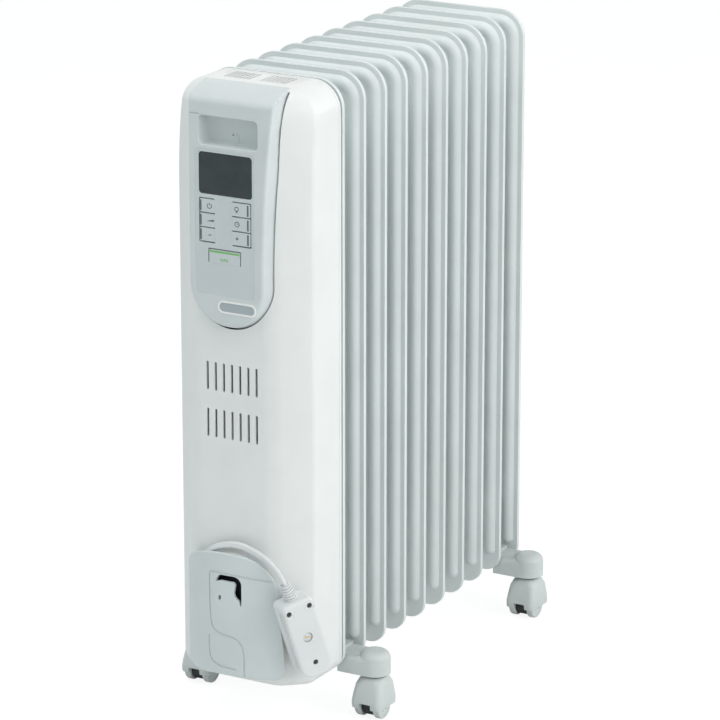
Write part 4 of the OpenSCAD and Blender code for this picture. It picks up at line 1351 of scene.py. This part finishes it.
# %% Crossbars
bar_places = {"crossbar_front": -0.1184, "crossbar_rear": 0.2144}
arm_x, arm_low, arm_high, arm_radius, arm_round = 0.100, 0.045, 0.069, 0.0157, 0.008
bar_half, u_bolt_x = 0.016, 0.0252
SWAP_Y_Z = Matrix(((1, 0, 0, 0), (0, 0, 1, 0), (0, 1, 0, 0), (0, 0, 0, 1)))


def crossbar(name, node, y):
    """A crossbar, drawn at the origin and then moved back to its fin gap."""
    bar = make(name, block((-0.066, -bar_half, 0.052), (0.066, bar_half, 0.067)), [part_grey])
    cut(bar, block((-0.062, -bar_half + 0.003, 0.040), (0.062, bar_half - 0.003, 0.063)))
    for side in (-1, 1):
        taper = pillar([(side * 0.060, 0.001 - bar_half), (side * 0.090, -0.0137), (side * 0.090, 0.0137),
                        (side * 0.060, bar_half - 0.001)][::side], 0.054, 0.0645)
        cut(bar, move(taper, SWAP_Y_Z), "UNION")
        ends = sorted((side * 0.0655, side * 0.0995))
        neck = block((ends[0], -arm_radius, arm_low), (ends[1], arm_radius, arm_low + 0.0195))
        bevel(neck, [e for e in neck.edges if all(v.co.z > arm_low + 0.019 for v in e.verts)
                     and abs(e.verts[0].co.y - e.verts[1].co.y) < 1e-6], 0.0065, 6)
        cut(bar, neck, "UNION")
        cap = turned([(0, arm_low), (arm_radius, arm_low), (arm_radius, arm_high - arm_round)]
                     + arc((arm_radius - arm_round, arm_high - arm_round), arm_round, 0, 90, 8)[1:]
                     + [(0, arm_high)], 64)
        arm = at((side * arm_x, 0, 0))
        cut(bar, move(cap, arm), "UNION")
        cut(bar, move(rod(0.00405, arm_low - 0.001, arm_low + 0.016), arm))
        cut(bar, move(rod(0.0029, 0.05, 0.07, 24), at((side * u_bolt_x, 0, 0))))
    soften(bar, 0.0009, 42, 3)
    bar.data.transform(at((0, y, 0)))
    bar.data.update()
    print(name, len(bar.data.polygons), "faces")
    return fit(bar, "radiator", "white_plastic", node)


crossbar("front_bar", "crossbar_front", bar_places["crossbar_front"])
crossbar("rear_bar", "crossbar_rear", bar_places["crossbar_rear"])

# %% Form of a hood
trail, wheel_radius, pin_radius = 0.005, 0.013, 0.0025
hood_in, hood_half, hood_high, stem_high = 0.0146, 0.0168, 0.0446, 0.0606


def rounded_ring(bm, half_x, half_y, radius, middle_y, z, steps=8):
    """A rounded rectangle of edges at a height; every ring has the same number of vertices."""
    points = []
    for sx, sy, start in ((1, 1, 0), (-1, 1, 90), (-1, -1, 180), (1, -1, 270)):
        points += arc((sx * (half_x - radius), middle_y + sy * (half_y - radius)), radius, start, start + 90,
                      steps)
    return edge_ring(bm, [(x, y, z) for x, y in points])


def hood_form():
    """A loft through (half width, half depth, corner radius, middle in Y, height)."""
    bm = bmesh.new()
    levels = [(0.0163, 0.0185, 0.0050, -0.0025, 0.0120), (0.0168, 0.0190, 0.0056, -0.0025, 0.0150),
              (0.0168, 0.0190, 0.0058, -0.0025, 0.0190), (0.0164, 0.0176, 0.0064, -0.0020, 0.0260),
              (0.0155, 0.0157, 0.0074, -0.0010, 0.0350), (0.0140, 0.0139, 0.0095, -0.0006, 0.0395),
              (0.0119, 0.0119, 0.0112, 0, 0.0432), (0.0105, 0.0105, 0.0103, 0, hood_high)]
    return loft(bm, [rounded_ring(bm, *level) for level in levels])


print("a hood's form has", len(hood_form().faces), "faces")

# %% Cut the hood
# The room that the two wheels need is open towards the floor.
AT_AXLE = at((0, -trail, wheel_radius)) @ turn_by(90, "Y")
room_radius = wheel_radius + 0.001
hood = make("hood_pattern", hood_form(), [part_grey])
cut(hood, move(rod(room_radius, -hood_in, hood_in, 64), AT_AXLE))
cut(hood, block((-hood_in, -trail - room_radius, -0.002), (hood_in, -trail + room_radius, wheel_radius)))
notch_half, notch_high = 0.0064, 0.0175
cut(hood, block((-notch_half, -0.030, 0.008), (notch_half, -0.0155, notch_high), 0.0012, 1, 3))
cut(hood, move(rod(pin_radius, -0.0160, 0.0160), AT_AXLE))
soften(hood, 0.0006, 45, 2)
patterns = {"hood": bmesh.new()}
patterns["hood"].from_mesh(hood.data)
add(patterns["hood"], turned([(0, hood_high - 0.003), (0.0040, hood_high - 0.003),
                              (0.0040, stem_high - 0.0005), (0.0035, stem_high), (0, stem_high)], 32))
bpy.data.objects.remove(hood)
print("a hood has", len(patterns["hood"].faces), "faces")

# %% Axle, ring of painted shade and wheel
pin_end, spacer = hood_half - 0.0012, 0.0064
# The black spacer between the wheels is a real part, but its radius is made almost as large as the wheels so
# that it also stands for the shade in the gap between them: partly painted shade.
patterns["axle"] = move(turned([
    (0, -pin_end), (0.0021, -pin_end), (pin_radius, -pin_end + 0.0004), (pin_radius, -spacer),
    (0.0106, -spacer), (0.0108, -spacer + 0.0002), (0.0108, spacer - 0.0002), (0.0106, spacer),
    (pin_radius, spacer), (pin_radius, pin_end - 0.0004), (0.0021, pin_end), (0, pin_end)], 48), AT_AXLE)
# Under each arm's cap sits a thin dark ring of painted shade: it stands for the shadow line between the cap
# and the hood.
patterns["shade_ring"] = turned([(0.0041, 0.0436), (0.0138, 0.0436), (0.0138, 0.0447), (0.0041, 0.0447),
                             (0.0041, 0.0436)], 48)


def wheel_form(side):
    """A wheel on its axle; side is the way its hollow face looks."""
    half, bore, rim = 0.0037, 0.00255, wheel_radius
    section = [(bore, -half), (rim - 0.0012, -half), (rim - 0.0004, -half + 0.0005), (rim, -half + 0.0013),
               (rim, half - 0.0013), (rim - 0.0004, half - 0.0005), (rim - 0.0012, half), (0.0102, half),
               (0.0099, half - 0.0002), (0.0098, half - 0.0008), (0.0052, half - 0.0008),
               (0.0051, half - 0.0002), (0.0048, half), (bore, half), (bore, -half)]
    return move(turned([(r, z * side) for r, z in section], 72), at((side * 0.0104, 0, 0)) @ AT_AXLE)


print("a wheel has", len(wheel_form(1).faces), "faces")

# %% Four casters
for corner in ("fl", "fr", "rl", "rr"):
    place = at((arm_x if corner[1] == "r" else -arm_x,
                bar_places["crossbar_front" if corner[0] == "f" else "crossbar_rear"], 0))
    body = f"caster_{corner}"
    for kind, finish, slot, *stands_for in (("hood", part_grey, "grey_plastic", f"caster_hood_{corner}"),
                                            ("axle", axle_dark, "dark_plastic", f"caster_axle_{corner}"),
                                            ("shade_ring", axle_dark, "dark_plastic")):
        fit(make(f"{kind}_{corner}", move(patterns[kind].copy(), place), [finish]), body, slot, *stands_for)
    for side, word in ((-1, "left"), (1, "right")):
        wheel = f"wheel_{corner}_{word}"
        fit(make(f"roller_{corner}_{word}", move(wheel_form(side), place), [part_grey], 30), wheel,
            "grey_plastic", wheel)
print("casters done")

# %% [markdown]
# Booleans leave the housing with long thin faces, and smooth shading shows them. So every corner of a face
# takes the normal that the housing had at that point before anything was cut.

# %% Normals of the housing
towards_middle, near_enough, alike_enough = 0.02, 2e-4, 0.86


def lend_normals(piece, donor):
    """Gives a cut piece the smooth normals of the whole one, wherever the two surfaces still agree."""
    whole, mesh = donor.data, piece.data
    tree = BVHTree.FromPolygons([v.co for v in whole.vertices], [p.vertices for p in whole.polygons])
    normals = [None] * len(mesh.loops)
    for polygon in mesh.polygons:
        for loop in polygon.loop_indices:
            corner = mesh.vertices[mesh.loops[loop].vertex_index].co.lerp(
                polygon.center, towards_middle)
            place, _, index, gap_to_it = tree.find_nearest(corner)
            face = whole.polygons[index]
            weights = poly_3d_calc([whole.vertices[v].co for v in face.vertices], place)
            normal = Vector()
            for k, weight in zip(face.loop_indices, weights):
                normal += whole.corner_normals[k].vector * weight
            normal.normalize()
            agrees = gap_to_it < near_enough and normal.dot(polygon.normal) > alike_enough
            normals[loop] = normal if agrees else polygon.normal.copy()
    mesh.normals_split_custom_set(normals)


lend_normals(housing, whole_housing)
bpy.data.objects.remove(whole_housing)
fit(housing, "radiator", "white_plastic", "housing_shell")
housing.modifiers.remove(housing.modifiers["normals"])
print("housing", len(housing.data.polygons), "faces with lent normals")

# %% [markdown]
# ## Parts inside and below
# The heating element, the boards and the fixings keep their CAD meshes. They only need their finishes, and
# they are seen through the grilles, from behind and from below.

# %% Finishes of the CAD nodes that stay
def paint_nodes(material, *names):
    for name in names:
        for slot in nodes[name].material_slots:
            slot.material = material
    print(material.name, "on", ", ".join(names))


paint_nodes(zinc, "u_bolts", "wing_nuts", "housing_screws", "storage_screws", "heating_element")
paint_nodes(brass, "element_flange")
paint_nodes(blued, "thermal_cutout")
paint_nodes(sheet, "back_plate")
paint_nodes(circuit, "display_board", "power_board")
paint_nodes(gland_dark, "cord_gland")

# %% [markdown]
# ## Light and floor
# A plain studio: an even, slightly cool world for fill, and large soft lamps to the right, at the front left
# and overhead. The camera and mirror-like surfaces see plain white where there is nothing. The floor is a
# pale matte surface that the camera sees a little brighter, so it fades into the white and keeps the shadow.

# %% World
scene = bpy.context.scene
world = bpy.data.worlds.new("studio")
scene.world = world
world.use_nodes = True
world.node_tree.nodes.clear()
studio = Nodes(world.node_tree)
fill_light = 0.41
seen = [studio.node("ShaderNodeLightPath", output=f"Is {ray} Ray")
        for ray in ("Camera", "Glossy", "Transmission")]
fill = studio.node("ShaderNodeBackground", {}, {"Color": (0.91, 0.98, 0.99, 1), "Strength": fill_light})
plain = studio.node("ShaderNodeBackground", {}, {"Color": (1, 1, 1, 1), "Strength": 1.0})
studio.node("ShaderNodeOutputWorld", {}, {"Surface": studio.node(
    "ShaderNodeMixShader", {}, {0: seen[0] + seen[1] + seen[2], 1: fill, 2: plain})})
scene.view_settings.view_transform = "Standard"
print("fill light", fill_light)


# %% Lamps
def soft_lamp(name, place, aim, size, watts, tint=(1, 1, 1)):
    lamp = link(name, bpy.data.lights.new(name, "AREA"))
    lamp.data.size, lamp.data.energy, lamp.data.color = size, watts, tint
    lamp.location = place
    lamp.rotation_euler = (Vector(place) - Vector(aim)).to_track_quat("Z", "Y").to_euler()
    return lamp


middle = (0, 0, 0.3)
soft_lamp("key_right", (2.6, -0.7, 1.5), middle, 1.6, 30)
soft_lamp("side_right", (2.4, 1.8, 1.2), middle, 1.4, 16)
soft_lamp("front_left", (-2.3, -1.8, 1.6), middle, 1.6, 12, (0.88, 1, 1))
soft_lamp("overhead", (-0.2, -0.6, 2.6), middle, 1.8, 19)
print("four lamps")

# %% Floor
floor_reach, glow_share, glow_strength = 12, 0.75, 1.18
floor_paint = Paint("studio_floor", colour(240, 240, 240), 0.9)
camera_ray = floor_paint.node("ShaderNodeLightPath", output="Is Camera Ray")
glow = floor_paint.node("ShaderNodeEmission", {}, {"Color": (1, 1, 1, 1), "Strength": glow_strength})
soft_white = floor_paint.node("ShaderNodeMixShader", {}, {
    0: camera_ray * glow_share, 1: Socket(floor_paint, floor_paint.shader.outputs[0]), 2: glow})
floor_paint.wire(floor_paint.tree.nodes["Material Output"].inputs["Surface"], soft_white)
slab = bmesh.new()
bmesh.ops.create_grid(slab, x_segments=1, y_segments=1, size=floor_reach)
floor = make("floor", slab, [floor_paint.material])
floor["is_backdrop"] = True
print("floor", len(floor.data.polygons), "face")

# %% [markdown]
# ## Finish
# The box of the finished model is printed.

# %% Print the box of the model
low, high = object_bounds()
print("visual box", [round(v, 4) for v in low], [round(v, 4) for v in high])
